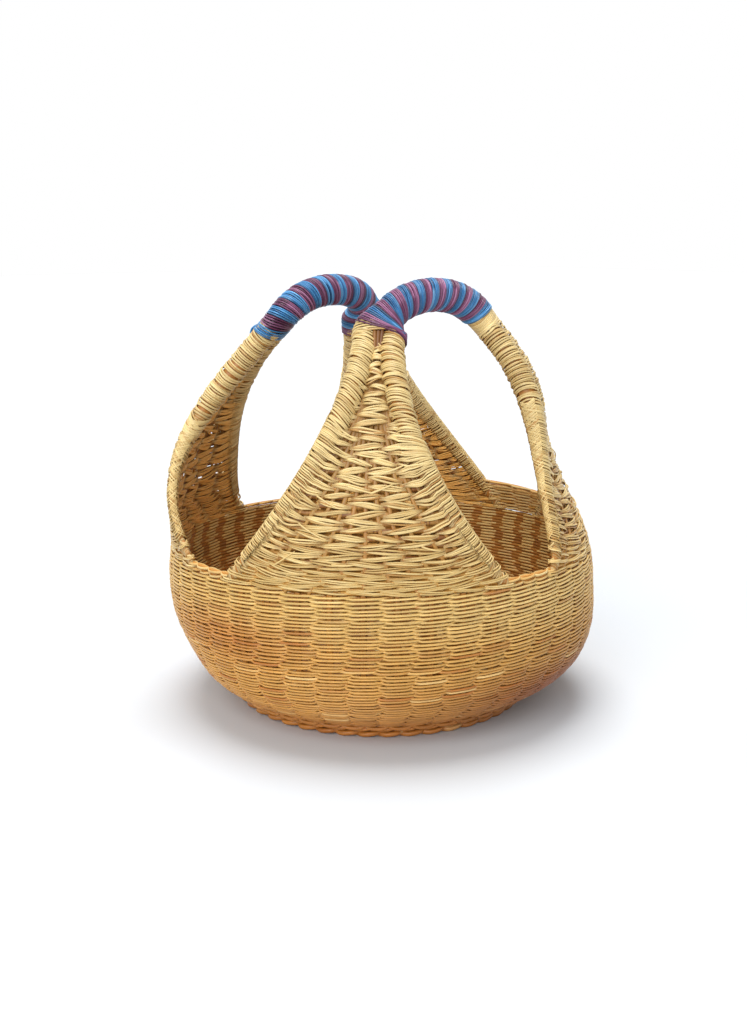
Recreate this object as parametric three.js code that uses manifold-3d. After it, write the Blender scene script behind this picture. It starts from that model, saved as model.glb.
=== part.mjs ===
// Twin-handled twined grass basket: a round bowl whose stakes rise into four gores,
// and two arched handles that each join the tops of two neighbouring gores.
// Millimetres, +Z up, origin on the floor under the centre of the bowl, handles along X.
import * as THREE from "three";
import { mergeVertices } from "three/addons/utils/BufferGeometryUtils.js";
import Module from "manifold-3d";

// Driving dimensions of the bowl
const BELLY_RADIUS = 214; // widest outside radius
const BELLY_HEIGHT = 136; // height of the widest place
const FOOT_RADIUS = 146; // where the wall leaves the base, on the outside
const FOOT_PULL = 45; // how far the wall runs out from the foot before it turns up
const FOOT_SLOPE = 34; // degrees above the floor at which the wall leaves the foot
const BELLY_PULL = 104; // how far down the wall stays upright under the belly
const RIM_HEIGHT = 155; // top of the bowl's weave
const RIM_DRAW_IN = 2; // how much narrower than the belly the rim is, in radius

// Layers of the twined wall: a weft skin on each side of the stakes
const WEFT = 2.6; // thickness of one weft skin
const STAKE_DEPTH = 3.2; // thickness of a stake
const STAKE_WIDTH = 7;
const OUTER_FLUTE = 0.9; // how far the outer weft is drawn in between two stakes
const INNER_FLUTE = 1.8; // and the inner weft
const GAP = 0.3; // clearance between pieces that lie against each other
const GORE_STAKE_EASE = 0.3; // further clearance of the stakes inside the twisted gores

// Counts
const STAKES = 44; // upright stakes round the bowl, one between each two twists of the weft
const WALL_ROWS = 6;
const GORE_COLUMNS = 8;
const PANEL_ROWS = 6; // from the rim to the top of a gore's woven panel
const NECK_ROWS = 4; // and on from there to the neck's top
const EDGE_SIDES = 8;
const GORE_STAKES = 3; // gathered stake bundles inside each gore
const BINDING_SIDES = 6;
const CORE_SIDES = 10;
const SEAT_SIDES = 36;

// Base and foot
const WALE_HEIGHT = 7; // rope-like course that the basket stands on
const WALE_WIDTH = 13;
const WALE_SIDES = 36;
const WALE_SHOULDER = 0.4; // height of the wale's sides, as a share of its own
const WALE_SOLE = 0.7; // width of its sole, as a share of its own
const CROSSING_FULLNESS = 1.1; // the stakes close up into one disc at this share of touching

// Gores and their wrapped edges
const NECK_X = 65; // centre of a gore's top, along the handle
const NECK_Y = 86; // and across it
const NECK_HEIGHT = 370; // where the gore's two wrapped columns enter the handle
const GORE_LEAN = 2; // power of the curve by which a gore leans inwards
const GORE_TAPER = 1.75; // power of the curve by which a gore narrows
const GORE_TURN = 2; // power of the curve by which a gore's top turns towards the handle
const OPENING_FLOOR_WIDTH = 40; // bottom of each opening between two gores
const EDGE_RIM_RADIUS = 6; // wrapped edge at the rim, along the gore
const EDGE_RIM_DEPTH = 5; // and through it, where the edge is still flat
const EDGE_FLAT_TO = 0.2; // up to this share of the rise the edge stays flat
const EDGE_ROUND_FROM = 0.8; // and from this share it is a round column
const NECK_COLUMN_RADIUS = 11.5; // the same edge where it has become a column of the neck
const RIM_BINDING_RADIUS = 4;

// Handles
const HANDLE_RISE = 34; // from the neck tops to the crown of the handle's centre line
const CROWN_Y = 74; // centre line of the crown, across the basket
const NECK_PULL = 12; // how far the handle keeps the neck's direction
const CROWN_PULL = 46; // how far the crown stays level on each side
const CORE_RADIUS = 13; // bundled stakes inside the winding
const CORE_STATIONS = 9; // from a neck to the crown
const GRIP_FROM = 0.35; // share of the way to the crown from which the core is round

// Coloured winding on each handle
const WINDING_LOOPS = 8; // turns of each colour
const LOOP_STEPS = 12; // straight steps in a turn
const FIRST_LOOP = 0.3; // middle of the first band, in turns from the neck
const LAST_LOOPS = 1.1; // turns of room for the ends of the bands, past the whole turns
const BAND_THICKNESS = 2.6;
const BAND_GAP = 0.8; // between neighbouring bands
const WINDING_CLEARANCE = 0.7; // over the core, more than the sag of a loop's steps

// Flexing joint of the necks: a round seat about an axis along X
const FLEX_SHARE = 0.842; // how far up the gores their necks bend, as a share of the rise
const SEAT_MARGIN = 1; // how far the seat reaches past the columns it carries
const PANEL_DROP = 3; // how far under the seat the gore's woven panel ends

// The hand-made unevenness of this basket
const RIGHT_OPENING_FILL = 24; // extra courses woven in the floor of the +X opening
const LEFT_BULGE_A = 13; // how far the middle of the left gore's edge a stands out
const LEFT_BULGE_B = -17; // and that of its edge b is drawn in
const RIGHT_BULGE_A = -20;
const RIGHT_BULGE_B = -21;
const BULGE_SINK = 0.75; // power that puts the bulges below the middle of the gore
const FRONT_SWING = -4.8; // degrees by which the front gore's neck is swung about the basket's middle
const BACK_SWING = 5.3; // and the back gore's

// Each gore: the signs of its X and Y, the bulges of its edges a and b, and its neck's swing
const GORES = [
  { name: "front", x: -1, y: -1, bulges: [0, 0], swing: FRONT_SWING },
  { name: "right", x: 1, y: -1, bulges: [RIGHT_BULGE_A, RIGHT_BULGE_B], swing: 0 },
  { name: "back", x: 1, y: 1, bulges: [0, 0], swing: BACK_SWING },
  { name: "left", x: -1, y: 1, bulges: [LEFT_BULGE_A, LEFT_BULGE_B], swing: 0 },
];
const HANDLES = [
  { name: "front", y: -1 },
  { name: "back", y: 1 },
];

const STRAW = { color: 0xc9a35c, roughness: 0.75, metalness: 0 };
const PALE_STRAW = { color: 0xd9bf7c, roughness: 0.7, metalness: 0 };
const BROWN_STRAW = { color: 0xb07a3c, roughness: 0.8, metalness: 0 };
const BLUE = { color: 0x1f6fae, roughness: 0.45, metalness: 0 };
const PURPLE = { color: 0x6b2a4a, roughness: 0.45, metalness: 0 };

// Sizes worked out from the ones above
const RIM_RADIUS = BELLY_RADIUS - RIM_DRAW_IN;
const WALL = 2 * WEFT + STAKE_DEPTH + 2 * GAP;
const LAYERS = {
  outer: [0, WEFT],
  stake: [WEFT + GAP, WEFT + GAP + STAKE_DEPTH],
  inner: [WALL - WEFT, WALL],
};
const BASE_UNDERSIDE = WALE_HEIGHT + GAP;
const TURN = 2 * Math.PI;

const wasm = await Module();
wasm.setup();

const lerp = THREE.MathUtils.lerp;
const vec = (x, y, z) => new THREE.Vector3(x, y, z);
const steps = (count) => Array.from({ length: count + 1 }, (_, i) => i / count);

// Meshes

function signedVolume(points, triangles) {
  let volume = 0;
  for (const [a, b, c] of triangles) {
    volume += points[a].dot(points[b].clone().cross(points[c])) / 6;
  }
  return volume;
}

// A BufferGeometry of points and triangles, turned so that its faces point out.
function closedGeometry(points, triangles) {
  const inward = signedVolume(points, triangles) < 0;
  const index = triangles.flatMap(([a, b, c]) => (inward ? [a, c, b] : [a, b, c]));
  return new THREE.BufferGeometry().setFromPoints(points).setIndex(index);
}

const quad = (a, b, c, d) => [
  [a, b, c],
  [a, c, d],
];

// A solid sheet between two grids of points, grid[column][row].
function sheetGeometry(outer, inner) {
  const columns = outer.length;
  const rows = outer[0].length;
  const points = [...outer.flat(), ...inner.flat()];
  const out = (i, j) => i * rows + j;
  const into = (i, j) => columns * rows + out(i, j);
  const triangles = [];
  for (let i = 0; i < columns - 1; i++) {
    for (let j = 0; j < rows - 1; j++) {
      triangles.push(...quad(out(i, j), out(i + 1, j), out(i + 1, j + 1), out(i, j + 1)));
      triangles.push(...quad(into(i, j), into(i, j + 1), into(i + 1, j + 1), into(i + 1, j)));
    }
    const top = rows - 1;
    triangles.push(...quad(out(i, 0), into(i, 0), into(i + 1, 0), out(i + 1, 0)));
    triangles.push(...quad(out(i, top), out(i + 1, top), into(i + 1, top), into(i, top)));
  }
  const end = columns - 1;
  for (let j = 0; j < rows - 1; j++) {
    triangles.push(...quad(out(0, j), out(0, j + 1), into(0, j + 1), into(0, j)));
    triangles.push(...quad(out(end, j), into(end, j), into(end, j + 1), out(end, j + 1)));
  }
  return closedGeometry(points, triangles);
}

// A solid through a list of rings with equally many points, closed by a fan at each end.
function ringGeometry(rings) {
  const sides = rings[0].length;
  const points = rings.flat();
  const triangles = [];
  for (let i = 0; i < rings.length - 1; i++) {
    for (let k = 0; k < sides; k++) {
      const next = (k + 1) % sides;
      const here = i * sides;
      triangles.push(...quad(here + k, here + next, here + sides + next, here + sides + k));
    }
  }
  const last = (rings.length - 1) * sides;
  for (let k = 1; k < sides - 1; k++) {
    triangles.push([0, k + 1, k], [last, last + k, last + k + 1]);
  }
  return closedGeometry(points, triangles);
}

function ovalRing(centre, across, out, halfWidth, halfDepth, sides) {
  return steps(sides)
    .slice(0, sides)
    .map((share) =>
      centre
        .clone()
        .addScaledVector(across, halfWidth * Math.cos(share * TURN))
        .addScaledVector(out, halfDepth * Math.sin(share * TURN)),
    );
}

function solidOf(geometry) {
  const plain = geometry.clone().deleteAttribute("normal").deleteAttribute("uv");
  const merged = mergeVertices(plain, 1e-4);
  return new wasm.Manifold(
    new wasm.Mesh({
      numProp: 3,
      vertProperties: new Float32Array(merged.attributes.position.array),
      triVerts: new Uint32Array(merged.index.array),
    }),
  );
}

function geometryOf(solid) {
  const { vertProperties, triVerts } = solid.getMesh();
  return new THREE.BufferGeometry()
    .setAttribute("position", new THREE.BufferAttribute(vertProperties, 3))
    .setIndex(new THREE.BufferAttribute(triVerts, 1));
}

const basket = new THREE.Group();

function addPiece(name, geometry, look) {
  const mesh = new THREE.Mesh(geometry, new THREE.MeshStandardMaterial(look));
  mesh.name = name;
  basket.add(mesh);
}

// Bowl: the outside profile runs from the foot to the belly and on to the rim

const footSlope = THREE.MathUtils.degToRad(FOOT_SLOPE);
const lowerProfile = new THREE.CubicBezierCurve(
  new THREE.Vector2(FOOT_RADIUS, BASE_UNDERSIDE),
  new THREE.Vector2(
    FOOT_RADIUS + FOOT_PULL * Math.cos(footSlope),
    BASE_UNDERSIDE + FOOT_PULL * Math.sin(footSlope),
  ),
  new THREE.Vector2(BELLY_RADIUS, BELLY_HEIGHT - BELLY_PULL),
  new THREE.Vector2(BELLY_RADIUS, BELLY_HEIGHT),
);

// Points of the wall's profile at a depth under its outside, from the foot to the level rim
function wallProfile(depth) {
  const rows = steps(WALL_ROWS - 1).map((way) => {
    const along = lowerProfile.getTangentAt(way);
    const inward = new THREE.Vector2(-along.y, along.x);
    return lowerProfile.getPointAt(way).addScaledVector(inward, depth);
  });
  return [...rows, new THREE.Vector2(RIM_RADIUS - depth, RIM_HEIGHT)];
}

const turned = (profile, sides = STAKES) =>
  new THREE.LatheGeometry(profile, sides).rotateX(Math.PI / 2);

// A weft skin between two depths: turned on its hidden face, fluted between the stakes on its seen one.
function skinGeometry(seenDepth, hiddenDepth, flute) {
  const crest = wallProfile(seenDepth);
  const groove = wallProfile(seenDepth + Math.sign(hiddenDepth - seenDepth) * flute);
  const hiddenFace = wallProfile(hiddenDepth);
  const turnedTo = (profile, step) =>
    profile.map((p) => vec(p.x, 0, p.y).applyAxisAngle(vec(0, 0, 1), (step / STAKES) * TURN));
  const seenSteps = Array.from({ length: 2 * STAKES }, (_, j) => turnedTo(j % 2 ? crest : groove, j / 2));
  const hiddenSteps = Array.from({ length: STAKES }, (_, i) => turnedTo(hiddenFace, i));
  const rows = crest.length;
  const seen = (j, row) => (j % (2 * STAKES)) * rows + row;
  const hidden = (i, row) => 2 * STAKES * rows + (i % STAKES) * rows + row;
  const triangles = [];
  for (let i = 0; i < STAKES; i++) {
    const j = 2 * i;
    for (let row = 0; row < rows - 1; row++) {
      for (const k of [j, j + 1]) {
        triangles.push(...quad(seen(k, row), seen(k + 1, row), seen(k + 1, row + 1), seen(k, row + 1)));
      }
      triangles.push(...quad(hidden(i, row), hidden(i, row + 1), hidden(i + 1, row + 1), hidden(i + 1, row)));
    }
    const lip = (row) => [
      [seen(j, row), hidden(i, row), seen(j + 1, row)],
      [seen(j + 1, row), hidden(i, row), hidden(i + 1, row)],
      [seen(j + 1, row), hidden(i + 1, row), seen(j + 2, row)],
    ];
    triangles.push(...lip(0), ...lip(rows - 1).map((corners) => corners.reverse()));
  }
  return closedGeometry([...seenSteps.flat(), ...hiddenSteps.flat()], triangles);
}

function addWall() {
  const [outside, underOutside] = LAYERS.outer;
  const [underInside, inside] = LAYERS.inner;
  addPiece("bowl_weft_outer", skinGeometry(outside, underOutside, OUTER_FLUTE), STRAW);
  addPiece("bowl_weft_inner", skinGeometry(inside, underInside, INNER_FLUTE), BROWN_STRAW);
}

// The base disc stays inside the foot of the wall's innermost layer.
const baseRadius = wallProfile(WALL)[0].x - GAP;

function discGeometry(radius, bottom, top) {
  return turned([
    new THREE.Vector2(0, bottom),
    new THREE.Vector2(radius, bottom),
    new THREE.Vector2(radius, top),
    new THREE.Vector2(0, top),
  ]);
}

function addBase() {
  const level = (depth) => BASE_UNDERSIDE + depth;
  for (const [name, look] of [
    ["outer", STRAW],
    ["inner", BROWN_STRAW],
  ]) {
    const [from, to] = LAYERS[name];
    addPiece(`base_weft_${name}`, discGeometry(baseRadius, level(from), level(to)), look);
  }
}

// The wale is flat underneath and domed above, and lies under the seam of base and wall.
function addFootWale() {
  const half = WALE_WIDTH / 2;
  const dome = steps(3).map((share) => {
    const turn = Math.PI * share;
    return new THREE.Vector2(
      FOOT_RADIUS - half + half * Math.cos(turn),
      WALE_HEIGHT * lerp(WALE_SHOULDER, 1, Math.sin(turn)),
    );
  });
  const sole = [
    new THREE.Vector2(FOOT_RADIUS - half - WALE_SOLE * half, 0),
    new THREE.Vector2(FOOT_RADIUS - half + WALE_SOLE * half, 0),
  ];
  addPiece("foot_wale", turned([...sole, ...dome, sole[0].clone()], WALE_SIDES), STRAW);
}

// Stakes: each lies on a flat of the turned wall, so it follows the layers.
function stakeRings(index) {
  const angle = ((index + 0.5) / STAKES) * TURN;
  const flat = Math.cos(TURN / STAKES / 2);
  const [outside, inside] = LAYERS.stake;
  const corner = (radius, side, height) =>
    vec(radius * flat, (side * STAKE_WIDTH) / 2, height).applyAxisAngle(vec(0, 0, 1), angle);
  const ring = (outer, inner) => [
    corner(outer.x, -1, outer.y),
    corner(outer.x, 1, outer.y),
    corner(inner.x, 1, inner.y),
    corner(inner.x, -1, inner.y),
  ];
  const inner = wallProfile(inside);
  const wall = wallProfile(outside).map((p, row) => ring(p, inner[row]));
  const flatRing = (radius) =>
    ring(
      new THREE.Vector2(radius, BASE_UNDERSIDE + outside),
      new THREE.Vector2(radius, BASE_UNDERSIDE + inside),
    );
  return [flatRing(crossingRadius), flatRing(baseRadius - STAKE_DEPTH), ...wall];
}

// Where the stakes have closed up side by side they are one disc, and its rim carries their ends.
const crossingRadius = (CROSSING_FULLNESS * STAKES * STAKE_WIDTH) / TURN;

function addStakeFrame() {
  const legs = Array.from({ length: STAKES }, (_, i) => stakeRings(i));
  const points = legs.flat(2);
  const perLeg = 4 * legs[0].length;
  const triangles = [];
  const under = points.push(vec(0, 0, legs[0][0][0].z)) - 1;
  const over = points.push(vec(0, 0, legs[0][0][2].z)) - 1;
  for (let leg = 0; leg < STAKES; leg++) {
    const first = leg * perLeg;
    const next = ((leg + 1) % STAKES) * perLeg;
    for (let ring = first; ring < first + perLeg - 4; ring += 4) {
      for (const [k, m] of [[0, 1], [1, 2], [2, 3], [3, 0]]) {
        triangles.push(...quad(ring + k, ring + m, ring + 4 + m, ring + 4 + k));
      }
    }
    const end = first + perLeg - 4;
    triangles.push(...quad(end, end + 1, end + 2, end + 3));
    triangles.push(...quad(first + 1, next, next + 3, first + 2));
    triangles.push([under, first + 1, first], [under, next, first + 1]);
    triangles.push([over, first + 3, first + 2], [over, first + 2, next + 3]);
  }
  addPiece("stake_frame", closedGeometry(points, triangles), BROWN_STRAW);
}

// Gores

const neckRadius = Math.hypot(NECK_X, NECK_Y);
const neckAngle = Math.atan2(NECK_Y, NECK_X);
const rimMiddle = RIM_RADIUS - WALL / 2;
const goreHalfAtRim = (Math.PI / 4) * rimMiddle - OPENING_FLOOR_WIDTH / 2;
const goreHalfAtNeck = 2 * NECK_COLUMN_RADIUS + GAP;

const goreHalf = (s) =>
  goreHalfAtNeck + (goreHalfAtRim - goreHalfAtNeck) * Math.max(0, 1 - s) ** GORE_TAPER;
const edgeRadius = (s) =>
  lerp(EDGE_RIM_RADIUS, NECK_COLUMN_RADIUS, Math.sqrt(Math.min(1, s)));

const edgeDepth = (s) =>
  lerp(EDGE_RIM_DEPTH, NECK_COLUMN_RADIUS, THREE.MathUtils.smoothstep(s, EDGE_FLAT_TO, EDGE_ROUND_FROM));

// A slanting edge is wider across, so that its thickness square to its run is true.
function edgeHalfAcross(s) {
  const narrowing = GORE_TAPER * Math.max(0, 1 - s) ** (GORE_TAPER - 1);
  const slope = ((goreHalfAtRim - goreHalfAtNeck) * narrowing) / (NECK_HEIGHT - RIM_HEIGHT);
  return edgeRadius(s) * Math.hypot(1, slope);
}

const edgeMiddle = (s) => goreHalf(s) - edgeHalfAcross(s);
const panelHalf = (s) => goreHalf(s) - 2 * edgeHalfAcross(s) - GAP;

const swell = (s) => Math.sin(Math.PI * Math.min(1, s) ** BULGE_SINK) ** 2;

// Radius of the gore's middle layer, and the direction in which its middle lies
function goreRadius(gore, s, across) {
  const towardsB = THREE.MathUtils.clamp(across / goreHalf(s) / 2 + 0.5, 0, 1);
  const bulge = lerp(gore.bulges[0], gore.bulges[1], towardsB);
  return lerp(rimMiddle, neckRadius, s ** GORE_LEAN) + bulge * swell(s);
}

// How fast the radius grows from edge a to edge b, by which the gore is twisted
function goreTwist(gore, s) {
  return ((gore.bulges[1] - gore.bulges[0]) * swell(s)) / (2 * goreHalf(s));
}

function goreAngle(gore, s) {
  const atNeck = neckAngle + THREE.MathUtils.degToRad(gore.swing);
  return lerp(Math.PI / 4, atNeck, s ** GORE_TURN);
}

// Rise and inward run of a gore's middle layer, as parts of a unit length; upright at the rim.
function goreSlope(gore, s, across) {
  if (s === 0) return [1, 0];
  const reach = 0.01;
  const drawIn = goreRadius(gore, s + reach, across) - goreRadius(gore, s - reach, across);
  const rise = 2 * reach * (NECK_HEIGHT - RIM_HEIGHT - GAP);
  const run = Math.hypot(rise, drawIn);
  return [rise / run, drawIn / run];
}

// A place on a gore: s from rim (0) to neck (1), across along the gore, out from its middle layer.
function goreFrame(gore, s, across) {
  const radius = goreRadius(gore, s, across);
  const angle = goreAngle(gore, s) + across / radius;
  const [rise, drawIn] = goreSlope(gore, s, across);
  const twist = goreTwist(gore, s);
  const side = (x, y, z) => vec(gore.x * x, gore.y * y, z);
  const cos = Math.cos(angle);
  const sin = Math.sin(angle);
  const aside = side(twist * cos - sin, twist * sin + cos, 0).normalize();
  const facing = side(cos * rise, sin * rise, -drawIn);
  return {
    point: side(radius * cos, radius * sin, lerp(RIM_HEIGHT + GAP, NECK_HEIGHT, s)),
    across: aside,
    out: facing.addScaledVector(aside, -facing.dot(aside)).normalize(),
    along: side(cos * drawIn, sin * drawIn, rise),
    rise,
  };
}

function gorePoint(gore, s, across, out) {
  const frame = goreFrame(gore, s, across);
  return frame.point.addScaledVector(frame.out, out);
}

// The flexing joint of a handle: its axis runs along X between the middles of its two necks
function flexAxis(gore) {
  const pair = GORES.filter((other) => other.y === gore.y);
  const middles = pair.map((other) => goreFrame(other, FLEX_SHARE, 0).point);
  return { y: (middles[0].y + middles[1].y) / 2, z: middles[0].z };
}

// How far a column reaches from the axis, across it and at its height
function columnReach(gore, side) {
  const frame = goreFrame(gore, FLEX_SHARE, side * edgeMiddle(FLEX_SHARE));
  const halfAcross = edgeHalfAcross(FLEX_SHARE) * frame.across.y;
  const halfOut = (edgeDepth(FLEX_SHARE) * frame.out.y) / frame.rise ** 2;
  return Math.abs(frame.point.y - flexAxis(gore).y) + Math.hypot(halfAcross, halfOut);
}

const columnReaches = GORES.flatMap((gore) => [columnReach(gore, -1), columnReach(gore, 1)]);
const seatRadius = Math.max(...columnReaches) + SEAT_MARGIN;

// The woven panel ends under the seat of the flexing joint.
const panelTop = FLEX_SHARE - (seatRadius + PANEL_DROP + GAP) / (NECK_HEIGHT - RIM_HEIGHT);
const panelShares = steps(PANEL_ROWS).map((share) => share * panelTop);

function goreSheet(gore, from, to) {
  const grid = (depth) =>
    steps(GORE_COLUMNS).map((share) =>
      panelShares.map((s) => {
        const across = (2 * share - 1) * panelHalf(s);
        return gorePoint(gore, s, across, WALL / 2 - depth);
      }),
    );
  return sheetGeometry(grid(from), grid(to));
}

// Stake bundles follow a column of the sheet and bend with its flats on both sides.
function goreStake(gore, index) {
  const column = ((index + 1) * GORE_COLUMNS) / (GORE_STAKES + 1);
  const outside = LAYERS.stake[0] + GORE_STAKE_EASE;
  const inside = LAYERS.stake[1] - GORE_STAKE_EASE;
  const rings = panelShares.map((s) => {
    const spacing = (2 * panelHalf(s)) / GORE_COLUMNS;
    const share = Math.min(STAKE_WIDTH, spacing) / spacing / 2;
    const place = (side, depth) => {
      const at = (i) => gorePoint(gore, s, i * spacing - panelHalf(s), WALL / 2 - depth);
      return at(column).lerp(at(column + side), share);
    };
    return [
      ...[-1, 0, 1].map((side) => place(side, outside)),
      ...[1, 0, -1].map((side) => place(side, inside)),
    ];
  });
  return ringGeometry(rings);
}

// One wrapped edge from the rim to the handle, before it is parted at the flexing joint.
const PAST_NECK = 1.03; // the edges run on a little, to be trimmed square at the neck's top
const neckShares = [...steps(NECK_ROWS).map((share) => lerp(panelTop, 1, share)).slice(1), PAST_NECK];
const edgeShares = [...panelShares, ...neckShares];

// The weave between the two columns of a neck, until they meet
function neckWeave(gore) {
  const from = panelShares[PANEL_ROWS - 1];
  const shares = edgeShares.filter((s) => s >= from && panelHalf(s) > WEFT / 2);
  const grid = (out) =>
    [-1, 0, 1].map((side) => shares.map((s) => gorePoint(gore, s, side * panelHalf(s), out)));
  return solidOf(sheetGeometry(grid(WALL / 2), grid(-WALL / 2)));
}

function edgeSolid(gore, side) {
  const rings = edgeShares.map((s) => {
    const frame = goreFrame(gore, s, side * edgeMiddle(s));
    return ovalRing(frame.point, frame.across, frame.out, edgeHalfAcross(s), edgeDepth(s), EDGE_SIDES);
  });
  return solidOf(ringGeometry(rings));
}

// Everything above the flexing joint, with a round underside of the given radius.
function aboveFlex(gore, radius) {
  const length = 4 * NECK_COLUMN_RADIUS + 2 * NECK_X;
  const flex = flexAxis(gore);
  const middle = gore.x * NECK_X;
  const seat = new THREE.CylinderGeometry(radius, radius, length, SEAT_SIDES)
    .rotateZ(Math.PI / 2)
    .translate(middle, flex.y, flex.z);
  const block = new THREE.BoxGeometry(length, 2 * BELLY_RADIUS, NECK_HEIGHT)
    .translate(middle, flex.y, flex.z + NECK_HEIGHT / 2);
  return solidOf(seat).add(solidOf(block));
}

function addGore(gore) {
  for (const [name, look] of [
    ["outer", PALE_STRAW],
    ["inner", BROWN_STRAW],
  ]) {
    const [from, to] = LAYERS[name];
    addPiece(`${gore.name}_gore_weft_${name}`, goreSheet(gore, from, to), look);
  }
  for (let i = 0; i < GORE_STAKES; i++) {
    addPiece(`${gore.name}_gore_stake_${i + 1}`, goreStake(gore, i), BROWN_STRAW);
  }
  const neck = goreFrame(gore, 1, 0);
  const down = neck.along.clone().negate();
  const moving = aboveFlex(gore, seatRadius).trimByPlane(down.toArray(), down.dot(neck.point));
  const fixedCut = aboveFlex(gore, seatRadius + GAP);
  addPiece(`${gore.name}_neck_weft`, geometryOf(neckWeave(gore).intersect(moving)), PALE_STRAW);
  for (const [name, side] of [
    ["a", -1],
    ["b", 1],
  ]) {
    const edge = edgeSolid(gore, side);
    addPiece(`${gore.name}_gore_edge_${name}`, geometryOf(edge.subtract(fixedCut)), PALE_STRAW);
    addPiece(`${gore.name}_neck_column_${name}`, geometryOf(edge.intersect(moving)), PALE_STRAW);
  }
}

// Openings: each lies between the edges of two gores that face it

const OPENINGS = [
  { name: "right", from: GORES[1], to: GORES[2], facing: -1, fill: RIGHT_OPENING_FILL },
  { name: "back", from: GORES[2], to: GORES[3], facing: 1, fill: 0 },
  { name: "left", from: GORES[3], to: GORES[0], facing: -1, fill: 0 },
  { name: "front", from: GORES[0], to: GORES[1], facing: 1, fill: 0 },
];

const shareOfRise = (height) => height / (NECK_HEIGHT - RIM_HEIGHT - GAP);

// Just outside a gore's edge, which runs straight from one of its stations to the next
function besideEdge(gore, facing, s, out) {
  const next = Math.max(1, edgeShares.findIndex((station) => station >= s));
  const [low, high] = [edgeShares[next - 1], edgeShares[next]];
  const at = (share) => gorePoint(gore, share, facing * (goreHalf(share) + GAP), out);
  return at(low).lerp(at(high), (s - low) / (high - low));
}

// A place in an opening: s as for the gores, way from one gore's edge to the other's.
function openingPoint(opening, s, way, out) {
  const a = besideEdge(opening.from, opening.facing, s, out);
  const b = besideEdge(opening.to, opening.facing, s, out);
  const radius = lerp(Math.hypot(a.x, a.y), Math.hypot(b.x, b.y), way);
  const direction = a.clone().lerp(b, way).setZ(0).normalize();
  return direction.multiplyScalar(radius).setZ(lerp(a.z, b.z, way));
}

function addOpeningFill(opening) {
  const top = shareOfRise(opening.fill);
  const grid = (out) =>
    steps(4).map((way) => steps(2).map((row) => openingPoint(opening, row * top, way, out)));
  const sheet = sheetGeometry(grid(WALL / 2), grid(-WALL / 2));
  addPiece(`${opening.name}_opening_weft`, sheet, BROWN_STRAW);
}

// The binding along an opening's floor
function addRimBinding(opening) {
  const floor = shareOfRise(opening.fill > 0 ? opening.fill + GAP : 0);
  const rings = steps(4).map((way) => {
    const centre = openingPoint(opening, floor, way, 0);
    const outward = centre.clone().setZ(0).normalize();
    centre.z += RIM_BINDING_RADIUS;
    return ovalRing(centre, vec(0, 0, 1), outward, RIM_BINDING_RADIUS, RIM_BINDING_RADIUS, BINDING_SIDES);
  });
  addPiece(`${opening.name}_rim_binding`, ringGeometry(rings), PALE_STRAW);
}

// Handles: the core runs from one neck over the crown to the other

// Stations from a gore's neck to the crown
function halfHandle(handle, gore) {
  const neck = goreFrame(gore, 1, 0);
  const start = neck.point.clone().addScaledVector(neck.along, GAP);
  const crown = vec(0, handle.y * CROWN_Y, NECK_HEIGHT + HANDLE_RISE);
  const level = vec(-gore.x, 0, 0);
  const curve = new THREE.CubicBezierCurve3(
    start,
    start.clone().addScaledVector(neck.along, NECK_PULL),
    crown.clone().addScaledVector(level, -CROWN_PULL),
    crown,
  );
  let across = neck.across.clone();
  return steps(CORE_STATIONS).map((share) => {
    const along = share === 1 ? level : share === 0 ? neck.along : curve.getTangentAt(share);
    across = across.clone().addScaledVector(along, -across.dot(along)).normalize();
    const settled = THREE.MathUtils.smoothstep(share, 0, GRIP_FROM);
    return {
      point: curve.getPointAt(share),
      across,
      out: along.clone().cross(across).multiplyScalar(-gore.x * handle.y).normalize(),
      halfWidth: lerp(goreHalfAtNeck, CORE_RADIUS, settled),
      halfDepth: lerp(NECK_COLUMN_RADIUS, CORE_RADIUS, settled),
    };
  });
}

function handleStations(handle) {
  const [from, to] = [-1, 1].map((x) => GORES.find((gore) => gore.x === x && gore.y === handle.y));
  return [...halfHandle(handle, from), ...halfHandle(handle, to).slice(0, -1).reverse()];
}

// Stations between the listed ones, at a share of the whole handle
function stationAt(stations, share) {
  const place = THREE.MathUtils.clamp(share, 0, 1) * (stations.length - 1);
  const low = Math.min(stations.length - 2, Math.floor(place));
  const t = place - low;
  const [a, b] = [stations[low], stations[low + 1]];
  return {
    point: a.point.clone().lerp(b.point, t),
    across: a.across.clone().lerp(b.across, t).normalize(),
    out: a.out.clone().lerp(b.out, t).normalize(),
    halfWidth: lerp(a.halfWidth, b.halfWidth, t),
    halfDepth: lerp(a.halfDepth, b.halfDepth, t),
  };
}

function aroundHandle(stations, share, turn, lift) {
  const at = stationAt(stations, share);
  return at.point
    .addScaledVector(at.across, (at.halfWidth + lift) * Math.cos(turn))
    .addScaledVector(at.out, (at.halfDepth + lift) * Math.sin(turn));
}

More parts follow.
